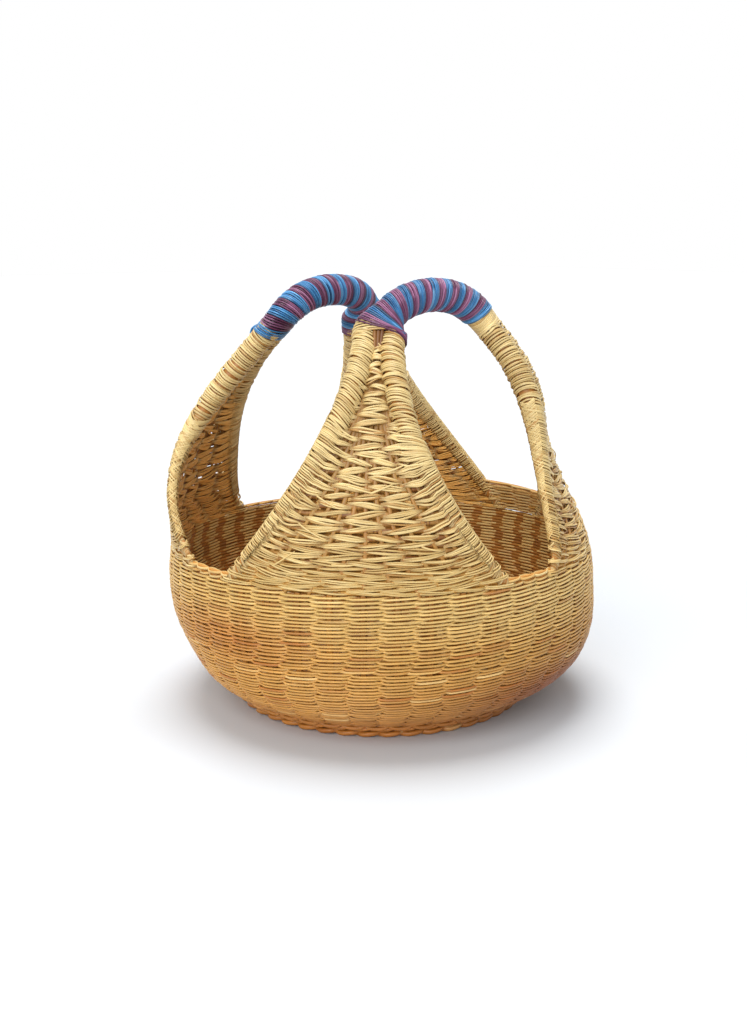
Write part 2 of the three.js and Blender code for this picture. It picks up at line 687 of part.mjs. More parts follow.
// One colour's winding: a flat band of six sides that runs round the core in a helix.
function windingRings(stations, start) {
  const pitch = 1 / (WINDING_LOOPS + LAST_LOOPS);
  const count = WINDING_LOOPS * LOOP_STEPS;
  const reach = pitch / 4;
  return steps(count).map((way) => {
    const turn = TURN * WINDING_LOOPS * way;
    const share = pitch * (start + WINDING_LOOPS * way + FIRST_LOOP);
    const base = aroundHandle(stations, share, turn, WINDING_CLEARANCE);
    const crown = aroundHandle(stations, share, turn, WINDING_CLEARANCE + BAND_THICKNESS);
    const before = aroundHandle(stations, share - reach, turn, WINDING_CLEARANCE);
    const after = aroundHandle(stations, share + reach, turn, WINDING_CLEARANCE);
    const side = after.sub(before);
    const half = (side.length() - BAND_GAP) / 2;
    side.normalize();
    const shoulder = half - BAND_THICKNESS / 2;
    const middle = base.clone().lerp(crown, 0.5);
    const at = (from, distance) => from.clone().addScaledVector(side, distance);
    return [
      at(base, -shoulder),
      at(base, shoulder),
      at(middle, half),
      at(crown, shoulder),
      at(crown, -shoulder),
      at(middle, -half),
    ];
  });
}

// Least distance between points of the band that are half a loop or more apart
function leastGapToItself(rings) {
  let least = Infinity;
  rings.forEach((ring, i) => {
    for (const other of rings.slice(i + LOOP_STEPS / 2)) {
      for (const p of ring) {
        for (const q of other) least = Math.min(least, p.distanceTo(q));
      }
    }
  });
  return least;
}

function addHandle(handle) {
  const stations = handleStations(handle);
  const rings = stations.map((station) =>
    ovalRing(station.point, station.across, station.out, station.halfWidth, station.halfDepth, CORE_SIDES),
  );
  addPiece(`${handle.name}_handle_core`, ringGeometry(rings), BROWN_STRAW);
  for (const [colour, start, look] of [
    ["purple", 0, PURPLE],
    ["blue", 0.5, BLUE],
  ]) {
    const winding = windingRings(stations, start);
    const name = `${handle.name}_handle_winding_${colour}`;
    console.log(`${name}: least gap to itself ${leastGapToItself(winding).toFixed(2)} mm`);
    addPiece(name, ringGeometry(winding), look);
  }
}

addFootWale();
addBase();
addWall();
addStakeFrame();
GORES.forEach(addGore);
OPENINGS.filter((opening) => opening.fill > 0).forEach(addOpeningFill);
OPENINGS.forEach(addRimBinding);
HANDLES.forEach(addHandle);

export default basket;
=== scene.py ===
"""Looks of the twin-handled twined grass basket, strand by strand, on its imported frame.

Lengths are in millimetres until a mesh is made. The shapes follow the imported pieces: the wall's
profile, the gores with their wrapped edges, and the arched handles.
"""

import math

import bpy
import numpy as np
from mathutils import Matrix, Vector


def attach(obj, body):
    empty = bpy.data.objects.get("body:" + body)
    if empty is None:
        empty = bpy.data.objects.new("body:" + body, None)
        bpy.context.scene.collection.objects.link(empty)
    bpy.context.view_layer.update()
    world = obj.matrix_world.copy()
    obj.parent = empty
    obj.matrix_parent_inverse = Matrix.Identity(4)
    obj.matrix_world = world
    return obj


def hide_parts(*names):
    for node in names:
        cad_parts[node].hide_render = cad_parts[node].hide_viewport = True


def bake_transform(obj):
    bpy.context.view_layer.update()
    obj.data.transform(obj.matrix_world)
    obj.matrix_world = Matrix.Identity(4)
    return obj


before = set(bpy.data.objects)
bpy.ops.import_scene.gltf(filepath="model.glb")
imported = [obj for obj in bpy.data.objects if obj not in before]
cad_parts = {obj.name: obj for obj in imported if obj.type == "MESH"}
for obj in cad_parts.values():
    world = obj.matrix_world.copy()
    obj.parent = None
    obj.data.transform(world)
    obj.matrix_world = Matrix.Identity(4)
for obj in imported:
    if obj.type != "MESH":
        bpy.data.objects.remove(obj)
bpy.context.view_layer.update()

MM = 0.001
TURN = 2 * math.pi
rng = np.random.default_rng(27)

# Bowl
FOOT_RADIUS = 146.0
FOOT_LEVEL = 7.3
FOOT_PULL = 45.0
FOOT_SLOPE = math.radians(34)
BELLY_RADIUS = 214.0
BELLY_HEIGHT = 136.0
BELLY_PULL = 104.0
RIM_RADIUS = 212.0
RIM_HEIGHT = 155.0
WALL = 9.0
FLOOR_MIDDLE = FOOT_LEVEL + WALL / 2
UP = np.array([0, 0, 1.0])
STAKES = 44
FIRST_STAKE = math.pi / STAKES  # a stake stands half a step from the X axis
COURSE_PITCH = 3.45
FOOT_COARSER = 0.8  # how much coarser the courses are at the foot than at the belly
FINE_FROM = 80.0  # length along the wall from the foot to the fine courses
WEFT_REACH = 2.9  # how far a straw of the wall lies before or behind the stakes
WEFT_HALF_WIDE = 1.36
WEFT_HALF_DEEP = 1.1
FILL_SHARE = 0.54  # half height of the flat straws between the stakes, as a share of the pitch
FILL_HALF_DEEP = 0.7
STAKE_HALF_WIDE = 3.0
# The wall is a little fuller on the right and leaner low on the left. A patch has its turn in degrees
# from the camera's side, its height, its half width in degrees and its half height
RIGHT_BULGE, RIGHT_PATCH = 6.0, (72, 74, 30, 45)
LEFT_LEAN, LEFT_PATCH = 9.0, (-82, 52, 34, 34)

# Gores
RIM_MIDDLE = RIM_RADIUS - WALL / 2
NECK_X, NECK_Y, NECK_HEIGHT = 65.0, 86.0, 370.0
NECK_RADIUS = math.hypot(NECK_X, NECK_Y)
NECK_ANGLE = math.atan2(NECK_Y, NECK_X)
GORE_FOOT = RIM_HEIGHT + 0.3
GORE_RISE = NECK_HEIGHT - GORE_FOOT
GORE_TAPER = 1.75
COLUMN_RADIUS = 11.5
EDGE_RIM_RADIUS = 6.0
EDGE_RIM_DEPTH = 5.0
HALF_AT_RIM = math.pi / 4 * RIM_MIDDLE - 20.0
HALF_AT_NECK = 2 * COLUMN_RADIUS + 0.3
# Signs of x and y, how far the edges a and b bulge, the neck's swing in degrees, and the handle
GORES = {
    "front": (-1, -1, 0.0, 0.0, -4.8, "front_handle"),
    "right": (1, -1, -20.0, -21.0, 0.0, "front_handle"),
    "back": (1, 1, 0.0, 0.0, 5.3, "back_handle"),
    "left": (-1, 1, 13.0, -17.0, 0.0, "back_handle"),
}

# Handles
CROWN_Y = 74.0
CROWN_HEIGHT = 404.0
NECK_PULL = 12.0
CROWN_PULL = 46.0
GRIP_FROM = 0.35  # share of the way to the crown where the handle is round
CORE_RADIUS = 13.0
# The gores that a handle joins, and its winding: the way in mm of the band at the first neck and past
# the second, the turns between them, each colour's first and last turn, and how far it lies aslant
HANDLES = {
    "front": ("front", "right", 0.0, -23.5, 8.5, {"purple": (-0.25, 8.5), "blue": (-0.25, 8.5)}, 3.5),
    "back": ("left", "back", -4.8, 4.8, 9.75, {"purple": (0.0, 10.1), "blue": (-1.0, 9.1)}, 0.0),
}
BELOW_NECK = 40.0
BARE = {"front": (9.0, 21.0), "back": (0.0, 0.0)}  # how far the turns of bare straw reach from each neck

# Camera: distances in metres, lens in mm
AZIMUTH = math.radians(-40.6)
ELEVATION = math.radians(12.3)
DISTANCE = 1.3
AIM_HEIGHT = 0.184
AIM_LEFT = 0.0071
LENS = 45.07

# Light, and a floor in metres
WORLD_LIGHT, WORLD_SEEN = 0.47, 1.0  # the strength that lights the basket, and the one that is seen
TOP_LIGHT, TOP_SPREAD = 2.35, 34
FRONT_LIGHT, FRONT_SPREAD = 1.85, 50
FLOOR_HALF = 12
FLOOR_COLOUR = (0.685, 0.712, 0.745, 1)


def linear(red, green, blue):
    """Linear colour from screen values of 0 to 255."""
    c = np.array([red, green, blue], float) / 255
    return np.where(c <= 0.04045, c / 12.92, ((c + 0.055) / 1.055) ** 2.4)


PALE = linear(238, 211, 147)
GOLD = linear(222, 182, 104)
STRAW = linear(220, 168, 84)
TAN = linear(208, 146, 66)
ORANGE = linear(200, 118, 40)
RUST = linear(146, 80, 34)
UMBER = linear(128, 74, 24)
# Four shades of each dye, then a pale shade that is painted along the strands as a highlight
BLUE_SHADES = ((34, 104, 162), (44, 122, 182), (56, 136, 196), (30, 84, 134), (128, 184, 220))
PURPLE_SHADES = ((90, 38, 72), (104, 48, 84), (118, 60, 98), (70, 30, 58), (174, 126, 160))
BLUES, PURPLES = (np.array([linear(*shade) for shade in dye]) for dye in (BLUE_SHADES, PURPLE_SHADES))
PAINTED_HIGHLIGHT_SHADE = 4


def mix(a, b, t):
    t = np.asarray(t)[..., None]
    return a * (1 - t) + b * t


def smooth(x, low, high):
    t = np.clip((x - low) / (high - low), 0, 1)
    return t * t * (3 - 2 * t)


def unit(v):
    return v / np.linalg.norm(v, axis=-1, keepdims=True)


def lengths(line):
    """Length along a line to each point."""
    return np.concatenate([[0], np.cumsum(np.linalg.norm(np.diff(line, axis=0), axis=1))])


def full_turn(points):
    """Angles spread evenly over one turn."""
    return np.linspace(0, TURN, points, endpoint=False)


def wave(x, count, low, high):
    """A smooth random function of x, between about -1 and 1."""
    total = 0
    for _ in range(count):
        total = total + np.sin(rng.uniform(low, high) * x + rng.uniform(0, TURN))
    return total / math.sqrt(count)


def add_object(name, data):
    thing = bpy.data.objects.new(name, data)
    bpy.context.scene.collection.objects.link(thing)
    return thing


MAP_ROWS = 110  # strands in a column of a piece's map
MAP_EDGE = 0.04  # margin of a strand's cell


class Weave:
    """The strands of one piece, gathered before its mesh is made."""

    def __init__(self):
        self.blocks = []

    def add(self, centre, wide, deep, half_wide, half_deep, colour, closed=False, sides=6):
        """Strands through centre[strand, point], or one through centre[point], oval along wide and deep."""
        centre = np.asarray(centre, float)
        if centre.ndim == 2:
            centre = centre[None]
        strands, points = centre.shape[:2]
        full = (strands, points, 3)
        wide, deep, colour = (np.broadcast_to(v, full) for v in (wide, deep, colour))
        halves = (np.broadcast_to(half, full[:2])[..., None, None] for half in (half_wide, half_deep))
        half_wide, half_deep = halves
        turn = np.arange(sides) / sides * TURN
        ring = (
            centre[:, :, None]
            + wide[:, :, None] * half_wide * np.cos(turn)[:, None]
            + deep[:, :, None] * half_deep * np.sin(turn)[:, None]
        )
        ahead = centre[0, 1] - centre[0, 0]
        turned = np.dot(np.cross(wide[0, 0], deep[0, 0]), ahead) < 0
        step = np.linalg.norm(np.diff(centre, axis=1), axis=-1)
        along = np.concatenate([np.zeros((strands, 1)), np.cumsum(step, axis=1)], axis=1)
        self.blocks.append((ring, colour, along, closed, turned))

    def arrays(self):
        corners, colours, fibres, faces, spans = [], [], [], [], []
        first, strand = 0, 0
        for ring, colour, along, closed, turned in self.blocks:
            strands, points, sides = ring.shape[:3]
            index = first + np.arange(strands * points * sides).reshape(strands, points, sides)
            after = np.roll(index, -1, axis=1) if closed else index[:, 1:]
            here = index if closed else index[:, :-1]
            quad = [here, np.roll(here, -1, 2), np.roll(after, -1, 2), after]
            cells = here.shape[1]
            row, column = np.meshgrid(np.arange(cells), np.arange(sides), indexing="ij")
            near, far = row / cells, (row + 1) / cells
            low, high = column / sides, (column + 1) / sides
            place = [(near, low), (near, high), (far, high), (far, low)]
            if turned:
                quad, place = quad[::-1], place[::-1]
            faces.append(np.stack(quad, -1).reshape(-1, 4))
            span = np.stack([np.stack(p, -1) for p in place], 2).reshape(1, -1, 4, 2)
            number = strand + np.arange(strands)
            spans.append((span, number))
            corners.append(ring.reshape(-1, 3))
            colours.append(np.repeat(colour[:, :, None], sides, 2).reshape(-1, 3))
            around = np.arange(sides) / sides
            fibre = np.broadcast_arrays(along[:, :, None], around, number[:, None, None])
            fibres.append(np.stack(fibre, -1).reshape(-1, 3))
            first += strands * points * sides
            strand += strands
        columns = math.ceil(strand / MAP_ROWS)
        rows = math.ceil(strand / columns)
        maps = []
        for span, number in spans:
            cell = np.stack([number % columns, number // columns], -1)[:, None, None]
            size = np.array([columns, rows])
            maps.append(((cell + MAP_EDGE + (1 - 2 * MAP_EDGE) * span) / size).reshape(-1, 2))
        join = np.concatenate
        return join(corners) * MM, join(colours), join(fibres), join(faces), join(maps)

    def make(self, name, material):
        corners, colours, fibres, faces, maps = self.arrays()
        mesh = bpy.data.meshes.new(name)
        mesh.vertices.add(len(corners))
        mesh.vertices.foreach_set("co", corners.ravel())
        mesh.loops.add(faces.size)
        mesh.loops.foreach_set("vertex_index", faces.ravel().astype(np.int32))
        mesh.polygons.add(len(faces))
        mesh.polygons.foreach_set("loop_start", np.arange(0, faces.size, 4, dtype=np.int32))
        mesh.update(calc_edges=True)
        mesh.shade_smooth()
        opaque = np.concatenate([colours, np.ones((len(colours), 1))], 1)
        mesh.attributes.new("straw_colour", "FLOAT_COLOR", "POINT").data.foreach_set("color", opaque.ravel())
        mesh.attributes.new("fibre", "FLOAT_VECTOR", "POINT").data.foreach_set("vector", fibres.ravel())
        mesh.uv_layers.new(name="OFBake").data.foreach_set("uv", maps.ravel())
        mesh.materials.append(material)
        return add_object(name, mesh)


def set_inputs(node, values):
    for name, value in values.items():
        node.inputs[name].default_value = value


FIBRE_SCALE = (0.09, 7.0, 3.7)  # of the fibres along a strand, round it and from strand to strand
FIBRE_DETAIL = 3.0
# Range of the noise, and the tones at its ends
FIBRE_TONES = {"From Min": 0.25, "From Max": 0.75, "To Min": 0.72, "To Max": 1.16}
FIBRE_HEIGHT = 0.0004  # in metres


def straw_material(name, roughness, shine, relief):
    """Straw whose strands take their colour from the mesh, with fine fibres along them."""
    material = bpy.data.materials.new(name)
    material.use_nodes = True
    nodes, links = material.node_tree.nodes, material.node_tree.links
    shader = nodes["Principled BSDF"]
    set_inputs(shader, {"Roughness": roughness, "Specular IOR Level": shine})
    colour = nodes.new("ShaderNodeAttribute")
    colour.attribute_name = "straw_colour"
    fibre = nodes.new("ShaderNodeAttribute")
    fibre.attribute_name = "fibre"
    stretch = nodes.new("ShaderNodeMapping")
    set_inputs(stretch, {"Scale": FIBRE_SCALE})
    links.new(fibre.outputs["Vector"], stretch.inputs["Vector"])
    noise = nodes.new("ShaderNodeTexNoise")
    set_inputs(noise, {"Scale": 1.0, "Detail": FIBRE_DETAIL})
    links.new(stretch.outputs["Vector"], noise.inputs["Vector"])
    level = nodes.new("ShaderNodeMapRange")
    set_inputs(level, FIBRE_TONES)
    links.new(noise.outputs["Fac"], level.inputs["Value"])
    tone = nodes.new("ShaderNodeVectorMath")
    tone.operation = "SCALE"
    links.new(colour.outputs["Color"], tone.inputs[0])
    links.new(level.outputs["Result"], tone.inputs["Scale"])
    links.new(tone.outputs["Vector"], shader.inputs["Base Color"])
    bump = nodes.new("ShaderNodeBump")
    set_inputs(bump, {"Strength": relief, "Distance": FIBRE_HEIGHT})
    links.new(noise.outputs["Fac"], bump.inputs["Height"])
    links.new(bump.outputs["Normal"], shader.inputs["Normal"])
    return material


straw = straw_material("straw", 0.42, 0.55, 0.5)
dyed = straw_material("dyed_straw", 0.34, 0.4, 0.5)
DYED_SLOTS = ("blue_straw", "purple_straw")


# Wall


def bezier(points, t):
    a, b, c, d = (np.asarray(p, float) for p in points)
    t = np.asarray(t)[..., None]
    return (1 - t) ** 3 * a + 3 * (1 - t) ** 2 * t * b + 3 * (1 - t) * t**2 * c + t**3 * d


def wall_table():
    foot, belly = np.array([FOOT_RADIUS, FOOT_LEVEL]), np.array([BELLY_RADIUS, BELLY_HEIGHT])
    rim = np.array([RIM_RADIUS, RIM_HEIGHT])
    slope = np.array([math.cos(FOOT_SLOPE), math.sin(FOOT_SLOPE)])
    pulls = (foot, foot + FOOT_PULL * slope, belly - np.array([0, BELLY_PULL]), belly)
    lower = bezier(pulls, np.linspace(0, 1, 500))
    upper = belly + (rim - belly) * np.linspace(0, 1, 40)[1:, None]
    line = np.concatenate([lower, upper])
    up = unit(np.gradient(line, axis=0))
    out = np.stack([up[:, 1], -up[:, 0]], 1)
    return lengths(line), line - out * WALL / 2, out


# Length along the wall's outside from the foot, with the middle layer and the outward direction there
WALL_LENGTH, WALL_LINE, WALL_OUT = wall_table()
WALL_RUN = WALL_LENGTH[-1]
# Where the camera stands, as seen from above: patches are laid out from there
CAMERA_SIDE = math.atan2(-math.cos(AZIMUTH), math.sin(AZIMUTH))


def patch(phi, height, turn, level, wide, tall):
    """1 in the middle of a patch of the wall, falling to 0 round it."""
    off = (phi - CAMERA_SIDE - math.radians(turn) + math.pi) % TURN - math.pi
    return np.exp(-((off / math.radians(wide)) ** 2) - ((height - level) / tall) ** 2)


def wall_place(v, phi):
    """Point of the middle layer, its outward and its upward direction."""
    at = [np.interp(v, WALL_LENGTH, column) for column in (*WALL_LINE.T, *WALL_OUT.T)]
    radius, height, out_r, out_z = at
    radius = radius + RIGHT_BULGE * patch(phi, height, *RIGHT_PATCH)
    radius = radius - LEFT_LEAN * patch(phi, height, *LEFT_PATCH)
    cos, sin = np.cos(phi), np.sin(phi)
    point = np.stack([radius * cos, radius * sin, height], -1)
    out = np.stack([out_r * cos, out_r * sin, out_z], -1)
    up = np.stack([-out_z * cos, -out_z * sin, out_r], -1)
    return point, out, up


# Colour, strength and patch of each place where the wall's colour differs
BOWL_PATCHES = (
    (PALE, 0.35, 38, 139, 34, 35),
    (ORANGE, 0.6, -42, 102, 22, 26),
    (ORANGE, 0.9, 0, 4, 80, 22),
    (RUST, 1.0, 58, 42, 40, 36),
    (RUST, 0.5, 175, 36, 50, 34),
    (ORANGE, 0.5, -115, 64, 30, 30),
)
GOLD_ABOVE, STRAW_BELOW = 149, 84
STRAW_ABOVE, TAN_BELOW = 94, 24


def bowl_colour(phi, height, luck):
    colour = mix(GOLD, STRAW, smooth(-height, -GOLD_ABOVE, -STRAW_BELOW))
    colour = mix(colour, TAN, 0.75 * smooth(-height, -STRAW_ABOVE, -TAN_BELOW))
    for shade, strength, *place in BOWL_PATCHES:
        colour = mix(colour, shade, strength * patch(phi, height, *place))
    colour = mix(colour, ORANGE, np.clip(0.8 * luck - 0.8, 0, 0.7))
    colour = mix(colour, PALE, np.clip(-0.5 * luck - 0.45, 0, 0.5))
    return colour * (1 - 0.08 * luck)[..., None]


DASHES = 64


def by_dash(strands, theta):
    """A random number for each stretch of a strand between two stakes."""
    table = rng.normal(size=(strands, DASHES))
    dash = np.floor(theta / math.pi + 0.5).astype(int) % DASHES
    return np.take_along_axis(table, dash, 1)


def twist(theta, sharp, lead=0.0):
    """How far out a twined straw lies, from 1 outside to -1 inside."""
    return np.tanh(sharp * (np.cos(theta) + lead))


def course_table():
    """Middle and pitch of each course of the wall, by length along it from the foot."""
    middles, pitches, reached = [], [], 0.0
    while reached < WALL_RUN - COURSE_PITCH / 2:
        pitch = COURSE_PITCH * (1 + FOOT_COARSER * (1 - smooth(reached, 0, FINE_FROM)))
        middles.append(reached + pitch / 2)
        pitches.append(pitch)
        reached += pitch
    share = WALL_RUN / reached
    return np.array(middles) * share, np.array(pitches) * share


COURSE_LEVEL, COURSE_TALL = course_table()
COURSES = len(COURSE_LEVEL)
DASH_POINTS = 5  # of a straw from stake to stake


def bowl_courses(first, last):
    """Pairs of straws twined round the stakes, from one course to another."""
    weave = Weave()
    count = last - first
    phi = full_turn(STAKES * DASH_POINTS)[None].repeat(2 * count, 0)
    course = (first + np.arange(count)).repeat(2)[:, None]
    level, tall = COURSE_LEVEL[course], COURSE_TALL[course]
    size = tall / COURSE_PITCH
    which = np.tile([0, 1], count)[:, None]
    shift = rng.normal(0, 0.2, count).repeat(2)[:, None] + rng.normal(0, 0.1, (2 * count, 1))
    sway = 0.30 * np.sin(course / 9.0) + 0.10 * np.sin(course / 3.7 + 1.0)
    sway = sway + 0.2 * np.sin(2 * phi + course / 6.0)
    theta = STAKES / 2 * (phi - FIRST_STAKE) + math.pi * which + shift + sway
    ripple = 0.8 * np.sin(3 * phi + course / 9.0) + 0.6 * np.sin(7 * phi - course / 13.0 + 2.0)
    ripple = ripple * np.sin(math.pi * np.clip(level / WALL_RUN, 0, 1))
    jitter = rng.normal(0, 0.16, (2 * count, 1))
    side = twist(theta, 2.3, 0.3)
    rise = (0.5 * np.sin(theta) - 0.6 * side) * size
    v = np.clip(level + ripple + jitter + rise, 0.3, WALL_RUN - 0.2)
    point, out, up = wall_place(v, phi)
    luck = 0.6 * by_dash(2 * count, theta) + 0.5 * rng.normal(size=(2 * count, 1))
    low = 1 - smooth(level, 6, 40)
    flat = 1.9 * low * smooth(side, -0.4, 0.4)
    reach = WEFT_REACH * (1 + 0.04 * luck) * side + 0.25 + flat * (1 - side)
    point = point + out * reach[..., None]
    thick = rng.normal(1, 0.07, (2 * count, 1))
    half_wide = (WEFT_HALF_WIDE - 0.24 * np.abs(side)) * thick * size * (1 - 0.12 * smooth(-level, -60, -15))
    half_deep = (WEFT_HALF_DEEP - 0.25 * low) * thick
    colour = bowl_colour(phi, point[..., 2], luck)
    # Painted light: the parts of the straws that lie inside the wall are made paler, to lift the shade
    # inside the bowl
    colour = mix(colour, PALE, 0.5 * smooth(-side, 0.0, 0.9))
    weave.add(point, up, out, half_wide, half_deep, colour, closed=True, sides=5)
    add_fill(weave, level[::2], tall[::2], low[::2])
    return weave


def add_fill(weave, level, tall, low):
    """Flat straws in the middle layer, which close the courses between the stakes."""
    count = len(level)
    phi = full_turn(2 * STAKES)[None].repeat(count, 0)
    point, out, up = wall_place(level + 0 * phi, phi)
    colour = mix(TAN, UMBER, rng.uniform(0.2, 0.7, (count, 1)))
    colour = mix(colour, 0.6 * UMBER, 0.8 * low)
    inward = (1.2 - 4.2 * low)[..., None]
    half_deep = FILL_HALF_DEEP - 0.25 * low
    weave.add(point - out * inward, up, out, FILL_SHARE * tall, half_deep, colour, closed=True, sides=4)


WALE_LEVEL = 9.0
WALE_ROW = 1.9  # how far its two rows lie from its level
WALE_OUT = 2.2
WALE_HALF_WIDE, WALE_HALF_DEEP = 2.1, 2.0


def add_wale(weave):
    """A thicker course low on the wall, which scallops its lower outline."""
    phi = full_turn(STAKES * 10)[None].repeat(4, 0)
    which = np.array([[0], [1], [0], [1]])
    row = np.array([[-1], [-1], [1], [1]])
    theta = STAKES / 2 * phi + math.pi * which + 0.5 * row
    side = twist(theta, 1.6)
    point, out, up = wall_place(WALE_LEVEL + WALE_ROW * row - 1.3 * side, phi)
    colour = bowl_colour(phi, point[..., 2], 0.8 * by_dash(4, theta))
    point = point + out * (WEFT_REACH * side + WALE_OUT)[..., None]
    weave.add(point, up, out, WALE_HALF_WIDE, WALE_HALF_DEEP, colour, closed=True)


def make_piece(weave, name, slot, nodes, body=None, joint_body=None):
    """Makes a piece on its body, or across a neck's bend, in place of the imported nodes."""
    piece = weave.make(name, dyed if slot in DYED_SLOTS else straw)
    if joint_body:
        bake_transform(piece)
    else:
        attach(piece, body or "basket")
    if nodes:
        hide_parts(*nodes)


def build_bowl():
    third = COURSES // 3
    parts = [
        ("bowl_weave_lower", 0, third, []),
        ("bowl_weave_middle", third, 2 * third, ["bowl_weft_inner"]),
        ("bowl_weave_upper", 2 * third, COURSES, ["bowl_weft_outer"]),
    ]
    for name, first, last, nodes in parts:
        weave = bowl_courses(first, last)
        if first == 0:
            add_wale(weave)
        make_piece(weave, name, "straw", nodes)


STAKE_POINTS, LYING_POINTS = 60, 24
LYING_FROM = (13.0, 42.0)  # radius where every other stake begins under the base, and the ones between


def flat_place(reach, phi, height):
    """Point at a distance from the basket's axis, and its outward direction."""
    cos, sin = np.cos(phi), np.sin(phi)
    point = np.stack(np.broadcast_arrays(reach * cos, reach * sin, height), -1)
    return point, np.stack([cos, sin, np.zeros_like(cos)], -1)


def build_stakes():
    weave = Weave()
    phi = (FIRST_STAKE + np.arange(STAKES) / STAKES * TURN)[:, None]
    v = np.linspace(1.0, WALL_RUN + 3, STAKE_POINTS)[None]
    point, out, up = wall_place(v.repeat(STAKES, 0), phi)
    luck = rng.normal(size=(STAKES, 1))
    colour = mix(TAN, UMBER, np.clip(0.3 + 0.2 * luck, 0, 1))
    weave.add(point, np.cross(up, out), out, STAKE_HALF_WIDE, 1.0, colour)
    starts = np.tile(LYING_FROM, STAKES // 2)
    reach = np.linspace(starts, FOOT_RADIUS - 4, LYING_POINTS, axis=1)
    point, outward = flat_place(reach, phi.repeat(LYING_POINTS, 1), FLOOR_MIDDLE)
    half_wide = np.minimum(STAKE_HALF_WIDE, reach * 0.11)
    weave.add(point, np.cross(UP, outward), UP, half_wide, 1.3, colour)
    make_piece(weave, "bowl_stakes", "brown_straw", ["stake_frame"])


BASE_TURNS = (2.2, 5.4, 8.6, 11.8)  # radii of the turns round the middle of the base
BASE_FIRST, BASE_SPREAD = 15.0, 44.0  # radii of the first twined course, and where the stakes double
BASE_REACH = 2.7


def build_base():
    weave = Weave()
    for radius in np.arange(BASE_FIRST, FOOT_RADIUS - 2.5, COURSE_PITCH):
        cycles = STAKES // 4 if radius < BASE_SPREAD else STAKES // 2
        phi = full_turn(cycles * 10)[None].repeat(2, 0)
        theta = cycles * phi + np.array([[0], [math.pi]])
        reach = radius + 0.7 * np.sin(theta) + 0.4 * np.sin(3 * phi + radius)
        point, outward = flat_place(reach, phi, FLOOR_MIDDLE + BASE_REACH * np.cos(theta))
        luck = 0.7 * by_dash(2, theta) + 0.6 * rng.normal(size=(2, 1))
        colour = bowl_colour(phi, np.full_like(phi, 20.0), luck)
        weave.add(point, outward, UP, 0.95 + 0.6 * np.cos(theta) ** 2, 1.15, colour, closed=True)
    phi = full_turn(40)[None]
    for radius in BASE_TURNS:
        for side in (-1, 1):
            point, outward = flat_place(radius, phi, FLOOR_MIDDLE + 1.9 * side)
            colour = mix(TAN, STRAW, rng.uniform(0, 1, phi.shape))
            weave.add(point, outward, UP, 1.7, 1.8, colour, closed=True)
    make_piece(weave, "base_weave", "straw", ["base_weft_outer", "base_weft_inner"])


ROPE_RADIUS, ROPE_REACH = FOOT_RADIUS - 4.5, 4.6
ROPE_LEVEL, ROPE_RISE = 3.75, 0.9
ROPE_HALF_WIDE, ROPE_HALF_DEEP = 3.4, 2.7


def build_foot():
    """The rope-like course that the basket stands on."""
    weave = Weave()
    twists = STAKES // 2
    phi = full_turn(twists * 16)[None]
    for strand in range(2):
        theta = twists * (phi - FIRST_STAKE) + strand * math.pi
        reach = ROPE_RADIUS + ROPE_REACH * twist(theta, 1.2)
        point, outward = flat_place(reach, phi, ROPE_LEVEL + ROPE_RISE * np.sin(theta))
        colour = bowl_colour(phi, np.full_like(phi, 14.0), 0.8 * by_dash(1, theta))
        weave.add(point, outward, UP, ROPE_HALF_WIDE, ROPE_HALF_DEEP, colour, closed=True)
    make_piece(weave, "foot_rope", "straw", ["foot_wale"])


# Gores


def half_width(s):
    return HALF_AT_NECK + (HALF_AT_RIM - HALF_AT_NECK) * np.maximum(0, 1 - s) ** GORE_TAPER


def edge_radius(s):
    return EDGE_RIM_RADIUS + (COLUMN_RADIUS - EDGE_RIM_RADIUS) * np.sqrt(np.clip(s, 0, 1))


def edge_depth(s):
    """Half the thickness of an edge: flat at the rim, round where it becomes a column."""
    return EDGE_RIM_DEPTH + (COLUMN_RADIUS - EDGE_RIM_DEPTH) * smooth(s, 0.2, 0.8)


def edge_half_across(s):
    narrowing = GORE_TAPER * np.maximum(0, 1 - s) ** (GORE_TAPER - 1)
    slope = (HALF_AT_RIM - HALF_AT_NECK) * narrowing / (NECK_HEIGHT - RIM_HEIGHT)
    return edge_radius(s) * np.hypot(1, slope)


def edge_middle(s):
    return half_width(s) - edge_half_across(s)


def panel_half(s):
    """Half the width between a gore's two wrapped edges."""
    return half_width(s) - 2 * edge_half_across(s)


def gore_swell(s):
    return np.sin(math.pi * np.clip(s, 0, 1) ** 0.75) ** 2


def gore_radius(gore, s, across):
    at_a, at_b = GORES[gore][2:4]
    towards_b = np.clip(across / half_width(s) / 2 + 0.5, 0, 1)
    bulge = at_a + (at_b - at_a) * towards_b
    return RIM_MIDDLE + (NECK_RADIUS - RIM_MIDDLE) * s**2 + bulge * gore_swell(s)


